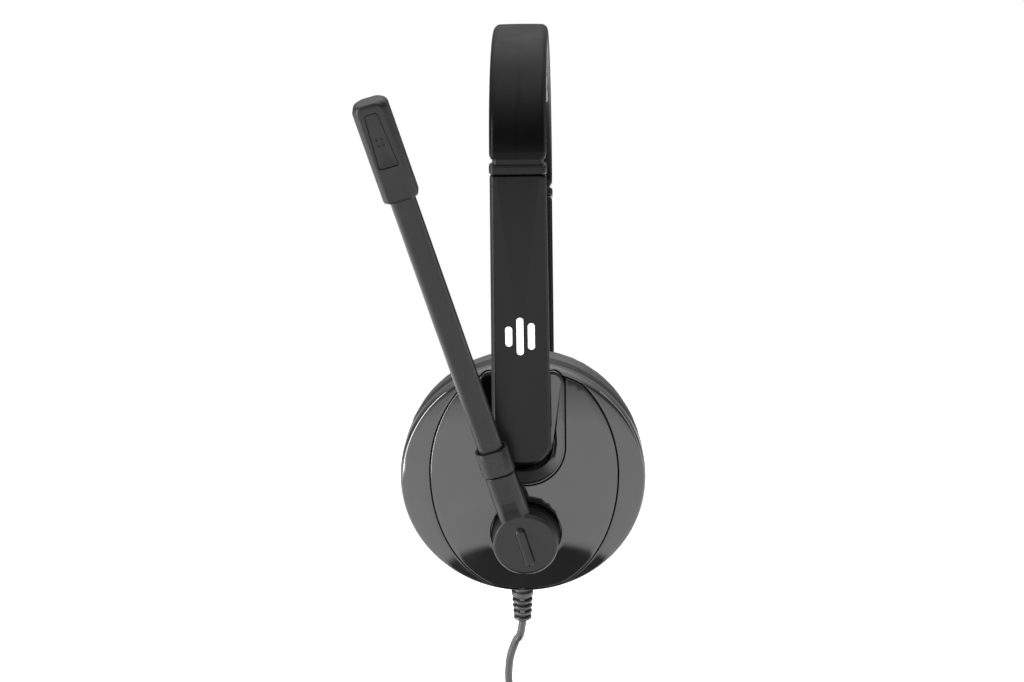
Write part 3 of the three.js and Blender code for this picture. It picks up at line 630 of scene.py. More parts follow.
def rib_tree():
    """Rounded rings stacked along a line."""
    tree, entry = repeat_tree("stack_of_ribs", {
        "Rib Count": 4, "Rib Pitch": 2.3, "Rib Radius": 2.6, "Rib Thickness": 0.65, "Taper": 0.04})
    row = node(tree, "GeometryNodeMeshLine", {
        "Count": entry.outputs["Rib Count"], "Offset": triple(tree, 0.0, 0.0, entry.outputs["Rib Pitch"])})
    circle = node(tree, "GeometryNodeCurvePrimitiveCircle", {
        "Resolution": 48, "Radius": entry.outputs["Rib Radius"]}).outputs[0]
    section = node(tree, "GeometryNodeCurvePrimitiveCircle", {
        "Resolution": 12, "Radius": entry.outputs["Rib Thickness"]}).outputs[0]
    ring = node(tree, "GeometryNodeCurveToMesh", {"Curve": circle, "Profile Curve": section}).outputs[0]
    index = node(tree, "GeometryNodeInputIndex").outputs[0]
    less = number(tree, index, entry.outputs["Taper"], "MULTIPLY")
    size = number(tree, 1.0, less, "SUBTRACT")
    stacked = node(tree, "GeometryNodeInstanceOnPoints", {
        "Points": row.outputs[0], "Instance": ring, "Scale": triple(tree, size, size, 1.0)})
    return close_tree(tree, entry, stacked.outputs[0])


def repeated(tree, values, place, side, material):
    """The tree's result as a plain mesh in metres, set in a local frame."""
    mesh = bpy.data.meshes.new("seed")
    holder = trial(mesh)
    step = holder.modifiers.new("repeat", "NODES")
    step.node_group = tree
    sockets = {item.name: item.identifier for item in tree.interface.items_tree if item.in_out == "INPUT"}
    for label, value in values.items():
        step[sockets[label]] = value
    step[sockets["Finish"]] = MATERIALS[material]
    made = evaluated(holder)
    made.transform(Matrix.Scale(MM, 4) @ place)
    if side < 0:
        made.transform(Matrix.Diagonal((-1, 1, 1, 1)))
        made.flip_normals()
    return made


STITCHES, SCREWS, RIBS = stitch_tree(), screw_tree(), rib_tree()
OUT_AXIS = Matrix.Rotation(math.radians(90), 4, "Y")  # a tree's upright turned to point out of the cup

# ---------- cord ----------


def flowing(points, step=0.8):
    """A smooth line through the points, as closely spaced points."""
    line = []
    padded = [points[0] * 2 - points[1], *points, points[-1] * 2 - points[-2]]
    for a, b, c, d in zip(padded, padded[1:], padded[2:], padded[3:]):
        count = max(2, round((c - b).length / step))
        for i in range(count):
            t = i / count
            line.append(
                0.5 * (2 * b + (c - a) * t + (2 * a - 5 * b + 4 * c - d) * t**2 + (3 * b - a - 3 * c + d) * t**3))
    line.append(points[-1])
    return line


COIL_COLUMNS, COIL_LAYERS = 5, 4
CROSSING = 60  # degrees of each turn over which the cord steps to its next place
JOIN_ANGLE, LEAVE_ANGLE = 25, 270
RELIEF_END = -49.2
PLUG_AT = COIL + Vector((11.6, 0, 12))


def coil_spot(turn):
    """Where a turn lies in the bundle: across the coil, and its radius."""
    layer, column = divmod(min(turn, COIL_COLUMNS * COIL_LAYERS - 1), COIL_COLUMNS)
    across = (COIL_COLUMNS - 1) / 2 - column
    if layer % 2:
        across = -across
    return across * 2 * CORD_R, COIL_R + 3 * CORD_R - layer * 2 * CORD_R


def coil_point(angle, across, radius):
    t = math.radians(angle)
    return COIL + Vector((across, -radius * math.sin(t), radius * math.cos(t)))


def cord_route():
    start = CUP @ Vector((GLAND_U, GLAND_V, RELIEF_END))
    lead = [start, start - CUP_UP * 5 + Vector((0, -0.9, 0))]
    lead += [COIL + Vector(at) for at in (
        (12.6, 2.2, 44.5), (10.6, 0.4, 39.5), (8, -0.3, 33.5), (6, -0.2, 28), (5.3, -1.4, 24.4), (5.2, -4.6, 21.2))]
    turns = []
    whole = COIL_COLUMNS * COIL_LAYERS
    step = 6
    last = (whole - 1) * 360 + LEAVE_ANGLE
    for angle in range(JOIN_ANGLE, last + 1, step):
        turn, within = divmod(angle - JOIN_ANGLE, 360)
        here, there = coil_spot(turn), coil_spot(turn + 1)
        t = max(0.0, (within - (360 - CROSSING)) / CROSSING)
        t = t * t * (3 - 2 * t)
        turns.append(coil_point(angle, *(a + (b - a) * t for a, b in zip(here, there))))
    joined = flowing([*lead, turns[0], turns[1]])[:-1]
    end = coil_spot(whole - 1)[1]
    tail = [COIL + Vector(at) for at in (
        (6.2, end - 0.1, 4.5), (8, end - 0.4, 9.8), (10, end - 1.6, 14.4), (11.2, 6.4, 17.6),
        (11.6, 2.6, 18), (11.6, 0.4, 15.4))]
    return joined + turns[2:-1] + flowing([turns[-1], *tail, PLUG_AT])


def headset_cord(with_pieces):
    route = cord_route()
    data = bpy.data.curves.new("cord", "CURVE")
    data.dimensions = "3D"
    line = data.splines.new("POLY")
    line.points.add(len(route) - 1)
    for point, at in zip(line.points, route):
        point.co = (*(at * MM), 1)
    data.bevel_depth = CORD_R * MM
    data.bevel_resolution = 2
    data.use_fill_caps = True
    data.materials.append(MATERIALS["jacket"])
    cord = bpy.data.objects.new("cord", data)
    SCENE.collection.objects.link(cord)
    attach(cord, "cup_left")
    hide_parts("cord_lead", "cord_coil")


def cord_tie():
    """A hook-and-loop strap round the bundle, its free end lapped over."""
    place = Matrix.Translation(COIL) @ Matrix.Rotation(math.radians(-24), 4, "X")

    def band(grow, half, soft):
        outline = rounded(COIL_RADIAL + grow, COIL_ACROSS + grow, 2.4, 6)
        return [(x, half * soft, COIL_R + out) for out, x in outline]

    edges = [(0.25, 0.8), (0.25, -0.8), (0.4, -1), (1.0, -1), (1.15, -0.8), (1.15, 0.8), (1.0, 1), (0.4, 1)]
    strap = skinned([band(grow, 2, soft) for grow, soft in edges], closed=True)
    lap_edges = rounded(0.35, 1.8, 0.3, 3)
    lap = skinned([
        [(x, y, COIL_R + COIL_RADIAL + 1.5 + out) for out, y in lap_edges] for x in (-4.4, -4.2, 3.6, 3.9)])
    finished("cord_tie_strap", placed(several(strap, lap), place), "thread", "cup_left", ["cord_tie"])


def plug():
    """A moulded grip and a gold pin with four contacts."""
    place = Matrix.Translation(PLUG_AT)
    grip = softened([
        (0, 0), (1.75, 0, 0.3), (2.1, -6.4, 0.6), (3.1, -8, 1), (3.1, -21.2, 0.5), (2.6, -22, 0.3), (0, -22)])
    parts = [turned(grip, 64, about="up")]
    for i in range(5):
        parts.append(turned(softened([
            (2.9, -10.4 - i * 1.5, 0), (3.3, -10.6 - i * 1.5, 0.2), (3.3, -11.2 - i * 1.5, 0.2),
            (2.9, -11.4 - i * 1.5, 0)]), 64, about="up"))
    body = finished("plug_grip", placed(several(*parts), place), "jacket", "cup_left", ["plug_body"])
    pin = softened([
        (0, -22.3), (2.5, -22.3), (2.5, -22.9, 0.2), (1.75, -23.1, 0.1), (1.75, -32.4, 0.2), (1.3, -33.9, 0.4),
        (1.65, -35, 0.4), (0.6, -36.3, 0.4), (0, -36.4)])
    contact = finished("plug_contacts", placed(turned(pin, 48, about="up"), place), "gold", "cup_left",
                       ["plug_pin"])
    bands = [turned([(1.6, z), (1.79, z), (1.79, z - 0.45), (1.6, z - 0.45)], 48, about="up")
             for z in (-25.6, -28.2, -30.8)]
    rings = finished("plug_insulators", placed(several(*bands), place), "jacket", "cup_left")
    return [body, contact, rings]


def strain_relief():
    """A moulded relief: a neck in the cup's wall, a flange, and staggered ribs over a flexing core."""
    place = CUP @ Matrix.Translation((GLAND_U, GLAND_V, 0))
    core = softened([
        (0, -34.2), (2.1, -34.2, 0.2), (2.85, -38.2, 0.4), (3.45, -38.6, 0.3), (3.45, -40.1, 0.3), (2.3, -40.5, 0.2),
        (1.95, -48.3, 0.3), (1.6, -49, 0.2), (0, -49)])
    links = []
    for i in range(4):
        z = -41.2 - 2 * i
        for way in (1, -1):
            v = way * 2.05 if i % 2 else 0
            u = 0 if i % 2 else way * 2.05
            half = rounded(0.75, 0.75, 0.3, 3)
            links.append(skinned([[(u + a, v + b, h) for a, b in half] for h in (z + 0.8, z - 1.2)]))
    body = placed(several(turned(core, 64, about="up"), *links), place)
    ribs = repeated(RIBS, {"Rib Count": 4, "Rib Pitch": -2.0, "Rib Radius": 2.6, "Rib Thickness": 0.66},
                    place @ Matrix.Translation((0, 0, -41.8)), 1, "jacket")
    piece = finished("relief_moulding", body, "jacket", "cup_left", ["strain_relief"])
    rings = finished("relief_ribs", ribs, "jacket", "cup_left")
    return piece, rings


cord_tie()
strain_relief()
headset_cord([*plug(), "cord_tie_strap"])

# ---------- headband ----------


def arch_station(angle):
    """The middle of the spring at an angle from the crown, and the direction out from the head."""
    crown = PAD_THICK + 0.3 + SLEEVE_THICK / 2
    at = Vector((ARCH_HALF * math.sin(angle), 0, crown - ARCH_RISE + ARCH_RISE * math.cos(angle)))
    out = Vector((ARCH_RISE * math.sin(angle), 0, ARCH_HALF * math.cos(angle))).normalized()
    return at, out


ARCH_END = math.pi / 2 + math.atan(ARCH_RISE / ARCH_HALF * ARM_UP.x / ARM_UP.z)
LIP_ALLOWANCE = 0.0505  # radians of arch given to the collar's groove at each end


def sleeve_section(shrink, groove):
    """The sleeve's section: soft corners, a slightly crowned outer face and a moulding line down its middle."""
    half_out, half_wide = SLEEVE_THICK / 2 - shrink, SLEEVE_WIDE / 2 - shrink
    section = rounded(half_out, half_wide, 2.1, 8)
    face = []
    for y in (-5.2, -3.4, -1.6, -0.5, -0.16, 0, 0.16, 0.5, 1.6, 3.4, 5.2):
        line = 0.14 * groove * max(0.0, 1 - abs(y) / 0.45)
        face.append((half_out + 0.1 * (1 - (y / 5.8) ** 2) - line, y))
    return section + face


def band_sleeve():
    end = ARCH_END - LIP_ALLOWANCE
    stops = [-1 + 2 * i / 120 for i in range(121)]
    rings = []
    for i, stop in enumerate(stops):
        at, out = arch_station(stop * end)
        near = min(i, len(stops) - 1 - i)
        shrink = (0.45, 0)[min(near, 1)]
        groove = min(1.0, max(0.0, (abs(stop) - 0.45) / 0.15))
        rings.append([at + out * o + ACROSS * y for o, y in sleeve_section(shrink, groove)])
    lips = [[p + (q - p) * 0.18 for p, q in zip(rings[a], rings[b])] for a, b in ((0, 1), (-1, -2))]
    rings[1:1] = [lips[0]]
    rings[-1:-1] = [lips[1]]
    return skinned(rings)


def crown_pad():
    """A thin padded strip under the sleeve, drawn in at cross seams."""
    reach = math.radians(48)
    rings = []
    stops = 140
    for i in range(stops + 1):
        share = i / stops
        at, out = arch_station(reach * (2 * share - 1))
        fall = max(0.02, math.sin(math.pi * share)) ** 0.35
        channel = abs((share * 9) % 1 - 0.5) * 2
        thick = (PAD_THICK - 0.1) * (0.3 + 0.7 * fall) * (1 - 0.22 * channel**6)
        half = SLEEVE_WIDE / 2 - 0.9 - 0.35 * channel**6
        if i in (0, stops):
            thick, half = thick * 0.5, half - 1
        top = -SLEEVE_THICK / 2 + 0.02
        section = rounded(thick / 2, half, min(1.5, thick / 2 - 0.05), 6)
        pull = [(o * (1 - 0.14 * (y / half) ** 2), y) for o, y in section]
        rings.append([at + out * (o + top - thick / 2) + ACROSS * y for o, y in pull])
    return skinned(rings)


finished("sleeve", placed(band_sleeve(), HEAD), "sleeve", "headband", ["band_sleeve"])
pad = finished("padded_crown", placed(crown_pad(), HEAD), "leatherette", "headband", ["crown_pad"])


def collar_shape():
    """The lip over the arm's top edge and the groove between it and the sleeve."""
    levels = [
        (79.2, 0.5), (79.32, 0.22), (79.6, 0.03), (79.9, 0), (LIP_TOP - 0.6, 0), (LIP_TOP - 0.3, 0.05),
        (LIP_TOP - 0.08, 0.25), (LIP_TOP, 0.5), (LIP_TOP + 0.02, 0.95), (SLEEVE_END + 0.4, 0.95)]
    rings = []
    for z, inset in levels:
        section = rounded(3.35 - inset, SLEEVE_WIDE / 2 + 0.12 - inset, 2.0, 8)
        rings.append([(SPRING_OUT + out, y, z) for out, y in section])
    return skinned(rings)


for name, side in SIDES.items():
    finished(f"collar_{name}", placed(collar_shape(), ARM, side), "satin", "headband",
             [f"sleeve_collar_{name}"])

# ---------- arms ----------

ARM_SCREWS = (24, 33)


def arm_cover():
    """The outer shell: square sides, a narrow flat bevel, and a flat face."""
    back, front = ARM_INNER + 1.3, ARM_OUTER
    levels = [
        (back, 0.3), (back + 0.1, 0.08), (back + 0.3, 0), (front - 1.1, 0), (front - 0.98, 0.03),
        (front - 0.86, 0.12), (front - 0.26, 0.74), (front - 0.12, 0.9), (front - 0.03, 1.1), (front, 1.45)]
    return skinned([[(x, y, z) for y, z in arm_outline(inset)] for x, inset in levels])


def arm_back():
    levels = [
        (ARM_INNER, 1.4), (ARM_INNER + 0.05, 1.1), (ARM_INNER + 0.35, 0.6), (ARM_INNER + 0.6, 0.42),
        (ARM_INNER + 1, 0.42)]
    return skinned([[(x, y, z) for y, z in arm_outline(inset)] for x, inset in levels])


def level_bars():
    """Three plain upright bars printed on the arm."""
    bars = []
    for y, half in ((-3.4, 3.1), (0, 5.8), (3.4, 4.1)):
        outline = rounded(1.05, half, 1.0, 8)
        faces_at = (ARM_OUTER - 0.02, ARM_OUTER + 0.03)
        bars.append(skinned([[(x, y + a, 29.6 + b) for a, b in outline] for x in faces_at]))
    return several(*bars)


for name, side in SIDES.items():
    body = f"arm_{name}"
    finished(f"arm_shell_{name}", placed(arm_cover(), ARM, side), "satin", body, [f"arm_cover_{name}"])
    wells = [placed(turned([(0, 0), (2.2, 0), (2.2, ARM_INNER + 0.7), (0, ARM_INNER + 0.7)], 48, 0, z), ARM, side)
             for z in ARM_SCREWS]
    wells.append(placed(turned([(0, 0), (2, 0), (2, 6), (0, 6)], 48), ARM, side))
    plate = combined(placed(arm_back(), ARM, side), wells)
    finished(f"arm_plate_{name}", plate, "satin", body, [f"arm_back_{name}"])
    heads = repeated(
        SCREWS, {"Screw Count": 2, "Screw Pitch": 9.0, "Head Radius": 1.85, "Head Height": 0.55, "Slot": 0.42},
        ARM @ Matrix.Translation((ARM_INNER + 0.68, 0, ARM_SCREWS[0])) @ Matrix.Rotation(math.radians(-90), 4, "Y"),
        side, "steel")
    finished(f"arm_screws_{name}", heads, "steel", body,
             [f"arm_screw_1_{name}", f"arm_screw_2_{name}"])
finished("arm_print_left", placed(level_bars(), ARM), "print", "arm_left")

# ---------- ear cups ----------


def face_point(r, angle, u):
    return (u, r * math.cos(angle), r * math.sin(angle))


def cup_housing():
    """The front shell: a bed for the panel, the groove round it, the domed rim and the rounded wall."""
    segments = 288
    angles = [2 * math.pi * i / segments for i in range(segments)]
    rings = []

    def ring(radius_of, height_of):
        rings.append([face_point(radius_of(t), t, height_of(radius_of(t))) for t in angles])

    def edge(t):
        return panel_radius(t) + PANEL_GAP

    for share in (0.03, 0.25, 0.5, 0.75, 1.0):
        ring(lambda t, k=share: edge(t) * k, lambda r: dome(r, PANEL_BED))
    for out, drop in ((0, 0.3), (0.03, 0.14), (0.1, 0.05), (0.22, 0)):
        ring(lambda t, k=out: edge(t) + k, lambda r, k=drop: dome(r) - k)
    for share in (0.25, 0.5, 0.75, 1.0):
        ring(lambda t, k=share: edge(t) + 0.22 + (max(FACE_R, edge(t) + 0.24) - edge(t) - 0.22) * k, dome)
    rim = [(37.32, -3.22), (37.55, -3.5), (37.76, -3.9), (37.92, -4.4), (CUP_R, -5.1), (CUP_R, -8.1),
           (37.93, -8.35), (37.75, HOUSING_BACK), (36, HOUSING_BACK), (36, -6.8), (33, -4.6)]
    for r, u in rim:
        ring(lambda t, k=r: k, lambda _, k=u: k)
    for share in (0.7, 0.4, 0.03):
        ring(lambda t, k=share: 33 * k, lambda r: dome(r, 3.4))
    return skinned(rings)


def gland_bore():
    return turned([(0, -44), (GLAND_R, -44), (GLAND_R, -30), (0, -30)], 48, GLAND_U, GLAND_V, "up")


def prism(low, high, outline):
    return skinned([[(u, v, w) for v, w in outline] for u in (low, high)])


def panel_loops(boom_side):
    """The panel's edge, with the pocket's notch in its top, and the round hole under the hub."""
    half = POCKET_HALF + 0.15

    def notch_angle():
        low, high = math.radians(45), math.radians(90)
        for _ in range(40):
            middle = (low + high) / 2
            if panel_radius(middle) * math.cos(middle) > half:
                low = middle
            else:
                high = middle
        return low

    right = notch_angle()
    left = math.pi - right
    span = 2 * math.pi - (left - right)
    count = 300
    edge = []
    for i in range(count + 1):
        t = right - span * i / count
        edge.append((panel_radius(t) * math.cos(t), panel_radius(t) * math.sin(t)))
    bottom, radius = POCKET_BOTTOM - 0.15, 12.15
    low_left = arc(-half + radius, bottom + radius, radius, 180, 270, 24)
    low_right = arc(half - radius, bottom + radius, radius, 270, 360, 24)
    notch = between(edge[-1], low_left[0], 26) + low_left + between(low_left[-1], low_right[0], 4)
    notch += low_right + between(low_right[-1], edge[0], 26)
    loops = [list(reversed(edge + notch))]
    if boom_side:
        hole = HUB_R + 0.8
        loops.append([(HUB_V + hole * math.cos(-t), HUB_W + hole * math.sin(-t))
                      for t in (2 * math.pi * i / 120 for i in range(120))])
    return loops


def inset_loop(loop, reach):
    """The loop moved towards the material, which lies on its left."""
    moved = []
    for i, at in enumerate(loop):
        before, after = Vector(loop[i - 1]), Vector(loop[(i + 1) % len(loop)])
        way = (after - before).normalized()
        moved.append((at[0] - way.y * reach, at[1] + way.x * reach))
    return moved


def within(loops, v, w):
    """Whether a point lies inside the outline and outside its holes."""
    inside = False
    for loop in loops:
        for (a, b), (c, d) in zip(loop, loop[1:] + loop[:1]):
            if (b > w) != (d > w) and v < (c - a) * (w - b) / (d - b) + a:
                inside = not inside
    return inside


def gloss_panel(boom_side):
    """A thin domed plate with a softened edge."""
    loops = panel_loops(boom_side)
    levels = [(0.25, PANEL_THICK), (0, PANEL_THICK), (0, 0.34), (0.06, 0.14), (0.16, 0.04), (0.34, 0)]
    points, faces = [], []

    def strip(loop, pairs):
        start = len(points)
        for reach, depth in pairs:
            points.extend(Vector((dome_over(v, w, depth), v, w)) for v, w in inset_loop(loop, reach))
        faces.extend(strips(len(pairs), len(loop), False, start=start))

    for loop in loops:
        strip(loop, levels)
    for reach, depth in (levels[-1], levels[0]):
        rims = [inset_loop(loop, reach) for loop in loops]
        flat = [at for rim in rims for at in rim]
        edges, start = [], 0
        for rim in rims:
            edges += [(start + i, start + (i + 1) % len(rim)) for i in range(len(rim))]
            start += len(rim)
        rim_points = [Vector(at) for at in flat]
        pitch = 1.7 if depth == 0 else 4.0
        rows = int(80 / pitch)
        for i in range(rows):
            w = -40 + i * pitch
            for j in range(rows):
                v = -40 + (j + 0.5 * (i % 2)) * pitch
                if math.hypot(v, w) > 38 or not within(rims, v, w):
                    continue
                if min((at[0] - v) ** 2 + (at[1] - w) ** 2 for at in flat[::2]) > (pitch * 0.55) ** 2:
                    rim_points.append(Vector((v, w)))
        found = delaunay_2d_cdt(rim_points, edges, [], 0, 1e-7)
        start = len(points)
        points.extend(Vector((dome_over(v, w, depth), v, w)) for v, w in found[0])
        for face in found[2]:
            v = sum(found[0][i][0] for i in face) / 3
            w = sum(found[0][i][1] for i in face) / 3
            if within(rims, v, w):
                faces.append(tuple(start + i for i in face))
    return points, faces


def arm_pocket():
    """The tub for the arm's end: a rounded crest, a bevelled wall that narrows towards the top, and a floor."""
    top = POCKET_TOP - 1.2

    def mouth(t):
        """The opening's outline, from the crest at 0 to the foot of the bevel at 1."""
        wide = tongue(POCKET_BOTTOM + 0.6, top, 12.6, 12.6, 11.4, 3)
        foot = tongue(POCKET_BOTTOM + 3.5, top, 9.9, 12.2, 8.6, 3)
        return [(a + (c - a) * t, b + (d - b) * t) for (a, b), (c, d) in zip(wide, foot)]

    def ring(outline, u, drop=0.0):
        return [(min(u, dome_over(v, w) - drop), v, w) for v, w in outline]

    crest, foot = 3.0, 1.6
    rings = [
        ring(pocket_outline(-0.4), POCKET_FLOOR - 1.4), ring(pocket_outline(-0.15), POCKET_FLOOR - 1.2),
        ring(pocket_outline(-0.15), 8, 0.22), ring(pocket_outline(-0.19), 8, 0.08),
        ring(pocket_outline(-0.3), 8, 0.0),
        ring(mouth(-0.08), 8, 0.0), ring(mouth(-0.02), 8, 0.08), ring(mouth(0), 8, 0.25)]
    for t in (0.0, 0.06, 0.15, 0.5, 0.85, 0.94, 1.0):
        rings.append(ring(mouth(t), crest + (foot - crest) * t - 0.25, 0.3))
    rings.append(ring(mouth(1.02), foot - 0.7, 0.3))
    rings.append(ring(mouth(1.02), POCKET_FLOOR + 0.4, 0.3))
    rings.append(ring(mouth(1.1), POCKET_FLOOR))
    return skinned(rings)


def rear_frame():
    wall = 37.8
    return turned(softened([
        (16.5, FRAME_BACK, 0.2), (wall, FRAME_BACK, 0.7), (wall, HOUSING_BACK - 0.3, 0.3),
        (wall - 1.8, HOUSING_BACK - 0.3, 0.2), (wall - 1.8, FRAME_BACK + 1.7, 0.4),
        (16.5, FRAME_BACK + 1.7, 0.2)]), 192)


def speaker_cover():
    """Knitted cloth drawn over the driver, slightly domed towards the ear."""
    cloth = [(0, -13.15)] + [(r, -13.15 + 0.0011 * r * r) for r in (2, 4, 6, 8, 10, 12, 14, 16)]
    cloth += [(16.4, -12.6), (0, -12.6)]
    return turned(cloth, 96)


def hub_bearing():
    return turned(softened([
        (0, -1), (10.6, -1, 0.2), (10.6, 2.6, 0.4), (10.2, 4, 0.6), (9.9, 5.75, 0.3), (0, 5.75)]), 128,
        HUB_V, HUB_W)


for name, side in SIDES.items():
    body = f"cup_{name}"
    boom_side = name == "left"
    bores = [placed(gland_bore(), CUP, side)] if boom_side else []
    opening = placed(prism(-14, 14, pocket_outline(0.15)), CUP, side)
    shell = combined(placed(cup_housing(), CUP, side), [opening, *bores])
    finished(f"cup_shell_{name}", shell, "gloss", body, [f"cup_housing_{name}"])
    finished(f"face_panel_{name}", placed(gloss_panel(boom_side), CUP, side), "gloss", body,
             [f"gloss_panel_{name}"])
    finished(f"arm_tub_{name}", placed(arm_pocket(), CUP, side), "gloss", body, [f"arm_pocket_{name}"])
    ring = placed(rear_frame(), CUP, side)
    if bores:
        ring = combined(ring, bores)
    finished(f"back_shell_{name}", ring, "satin", body, [f"rear_frame_{name}"])
    finished(f"speaker_cover_{name}", placed(speaker_cover(), CUP, side), "knit", body,
             [f"speaker_cloth_{name}"])
finished("hub_seat", placed(hub_bearing(), CUP), "satin", "cup_left", ["hub_bearing"])

# ---------- ear cushions ----------

CUSHION_FRONT = FRAME_BACK - 0.3


def cushion_start():
    """The cushion's ring, a little slimmer than it stands when filled."""
    return turned(softened([
        (17.9, CUSHION_FRONT, 0.8), (36.2, CUSHION_FRONT, 0.8), (37.7, -17.5, 2), (36.3, -22.6, 3), (31, -24.4, 2.5),
        (26, -24.7, 2), (21.6, -24.2, 2.5), (18.4, -21.6, 3)], 8), 128)


def filled(mesh, voxel, pressure, most, seam_height):
    """The mesh swollen like stuffed leatherette, held where it meets the frame."""
    base = trial(mesh)
    remesh = base.modifiers.new("even", "REMESH")
    remesh.mode = "VOXEL"
    remesh.voxel_size = voxel * MM
    even = evaluated(base)
    rest = [v.co.copy() for v in even.vertices]
    pad_piece = trial(even)
    held = pad_piece.vertex_groups.new(name="held")
    back = CUP.inverted()
    for i, at in enumerate(rest):
        height = (back @ (at / MM)).x
        if height > seam_height:
            held.add([i], 1.0, "REPLACE")
    cloth = pad_piece.modifiers.new("cloth", "CLOTH")
    cloth.settings.vertex_group_mass = "held"
    cloth.settings.use_pressure = True
    cloth.settings.uniform_pressure_force = pressure
    cloth.settings.tension_stiffness = 8
    cloth.settings.compression_stiffness = 8
    cloth.settings.bending_stiffness = 0.4
    cloth.settings.effector_weights.gravity = 0
    for number_of_frame in range(1, 21):
        SCENE.frame_set(number_of_frame)
    swollen = evaluated(pad_piece)
    SCENE.frame_set(1)
    for v, start in zip(swollen.vertices, rest):
        move = v.co - start
        if move.length > most * MM:
            v.co = start + move.normalized() * most * MM
    return swollen


def leather_folds(mesh):
    """Short radial puckers that run out from the seams and fade over the crown of the cushion."""
    back = CUP.inverted()
    fine = trial(mesh)
    level = fine.modifiers.new("finer", "SUBSURF")
    level.levels = level.render_levels = 1
    mesh = evaluated(fine)
    moves = []
    for v in mesh.vertices:
        at = back @ (v.co / MM)
        r, t = math.hypot(at.y, at.z), math.atan2(at.z, at.y)
        inner = max(0.0, 1 - abs(r - 19) / 4.5)
        outer = max(0.0, 1 - abs(at.x + 16.5) / 4) if r > 33 else 0.0
        share = max(inner, outer)
        ripple = noise.noise(Vector((math.cos(t) * 9, math.sin(t) * 9, r * 0.05)))
        ripple += 0.5 * noise.noise(Vector((math.cos(t) * 22, math.sin(t) * 22, r * 0.08)))
        moves.append(-v.normal * MM * 0.24 * share * max(-0.4, ripple))
    for v, move in zip(mesh.vertices, moves):
        v.co += move
    return mesh


def mirrored(mesh):
    copy = mesh.copy()
    copy.transform(Matrix.Diagonal((-1, 1, 1, 1)))
    copy.flip_normals()
    return copy


cushion = leather_folds(filled(placed(cushion_start(), CUP), 1.7, 4, 0.9, -14.6))
piping = turned(softened([(35.8, -13.6, 0.3), (37.5, -13.7, 0.3), (37.6, -14.6, 0.4), (36, -15, 0.4)]), 192)
for name, side in SIDES.items():
    body = f"cup_{name}"
    mesh = cushion.copy() if side > 0 else mirrored(cushion)
    piece = finished(f"cushion_{name}", mesh, "leatherette", body, [f"ear_cushion_{name}"], crease=60)
    finished(f"cushion_welt_{name}", placed(piping, CUP, side), "leatherette", body)
    place = CUP @ Matrix.Translation((-20.9, 0, 0)) @ OUT_AXIS
    thread = repeated(STITCHES, {"Ring Radius": 18.0, "Stitch Count": 66, "Stitch Length": 1.25, "Thread": 0.34},
                      place, side, "thread")
    finished(f"cushion_stitches_{name}", thread, "thread", body)

# ---------- microphone boom ----------


def chamfered(half_a, half_b, cut, soft=0.45):
    """A rectangle with flat bevelled corners whose edges are just broken."""
    a, b = half_a, half_b
    corners = [(a, -b + cut), (a, b - cut), (a - cut, b), (-a + cut, b),
               (-a, b - cut), (-a, -b + cut), (-a + cut, -b), (a - cut, -b)]
    return softened([(*corner, soft) for corner in corners], 4)


def crowned(half_a, half_b, radius, crown=0.7):
    """A rounded bar's section with its wide faces crowned."""
    section = rounded(half_a - crown, half_b, min(radius, half_a - crown - 0.02), 10)
    return [(a + math.copysign(crown * (1 - (b / half_b) ** 2), a), b) for a, b in section]


def boom_at(s, out, y):
    sin, cos = math.sin(BOOM_LEAN), math.cos(BOOM_LEAN)
    return (BOOM_U + s * sin + out * cos, y + BOOM_OFFSET, s * cos - out * sin)


def boom_bar(stations):
    return skinned([[boom_at(s, out, y) for out, y in section] for s, section in stations])


def boom_hub():
    disc = turned(softened([
        (0, 6.1), (9.8, 6.1, 0.2), (HUB_R, 6.4, 0.2), (HUB_R, 10.6, 0.5), (9.7, 11.3, 0.4), (8.9, 11.6, 0.8),
        (0, 11.6)]), 128)
    stem = crowned(3.6, 4.85, 3.1)
    small = crowned(3.3, 4.6, 3)

    def sunk(by):
        """The stem's section with its top lower, so that the stem rises out of the disc's flat face."""
        return [(out - by, y) for out, y in crowned(3.6 - by, 4.85, 3.1 - by)]

    holder = boom_bar([(1, sunk(0.75)), (8.8, sunk(0.52)), (11, sunk(0.36)), (13.5, sunk(0.14)), (16, stem),
                       (HOLDER_END - 0.35, stem), (HOLDER_END, small)])
    rib_levels = ((10.6, 1.7, 6.6), (12.2, 1.55, 6.5), (12.7, 1.3, 6.3), (13, 0.9, 5.9), (13.1, 0.4, 5.5))
    rib = skinned([
        [(x, y - 0.3, z - 0.4) for y, z in rounded(half, length, half - 0.05, 8)] for x, half, length in rib_levels])
    return moulded([placed(shape, BOOM) for shape in (disc, holder, rib)], 0.2, 3)


def collar_mouth(start, end, half_a, half_b, cut, mouth):
    """A sleeve with broken edges and a hollow mouth for the tube."""
    hollow = rounded(3.25, 4.1, 2.6, 10)

    def lip(inset):
        return crowned(half_a - inset, half_b - inset, cut)

    stations = [(start, lip(0.3)), (start + 0.25, lip(0)), (end - 0.3, lip(0)), (end - 0.06, lip(0.12)),
                (end, lip(0.3)), (end - 0.1, hollow), (end - mouth, hollow)]
    return boom_bar(stations)


def mic_head():
    """The microphone's shell: bevelled all round, with soft tip corners and a sunk seat for its port panel."""
    def section(shrink):
        return chamfered(3.9 - 0.45 * shrink, 5.3 - shrink, 1.7 - 0.2 * min(shrink, 2), 0.5)

    stations = [(HEAD_START, section(0.7)), (HEAD_START + 0.15, section(0.35)), (HEAD_START + 0.55, section(0.06)),
                (HEAD_START + 1, section(0))]
    tip = 2.4
    for i in range(9):
        t = math.radians(90 * i / 8)
        stations.append((HEAD_END - tip + tip * math.sin(t), section(2.2 * (1 - math.cos(t)))))
    return boom_bar(stations)


PORT_FROM, PORT_TO = HEAD_START + 11, HEAD_END - 2.6


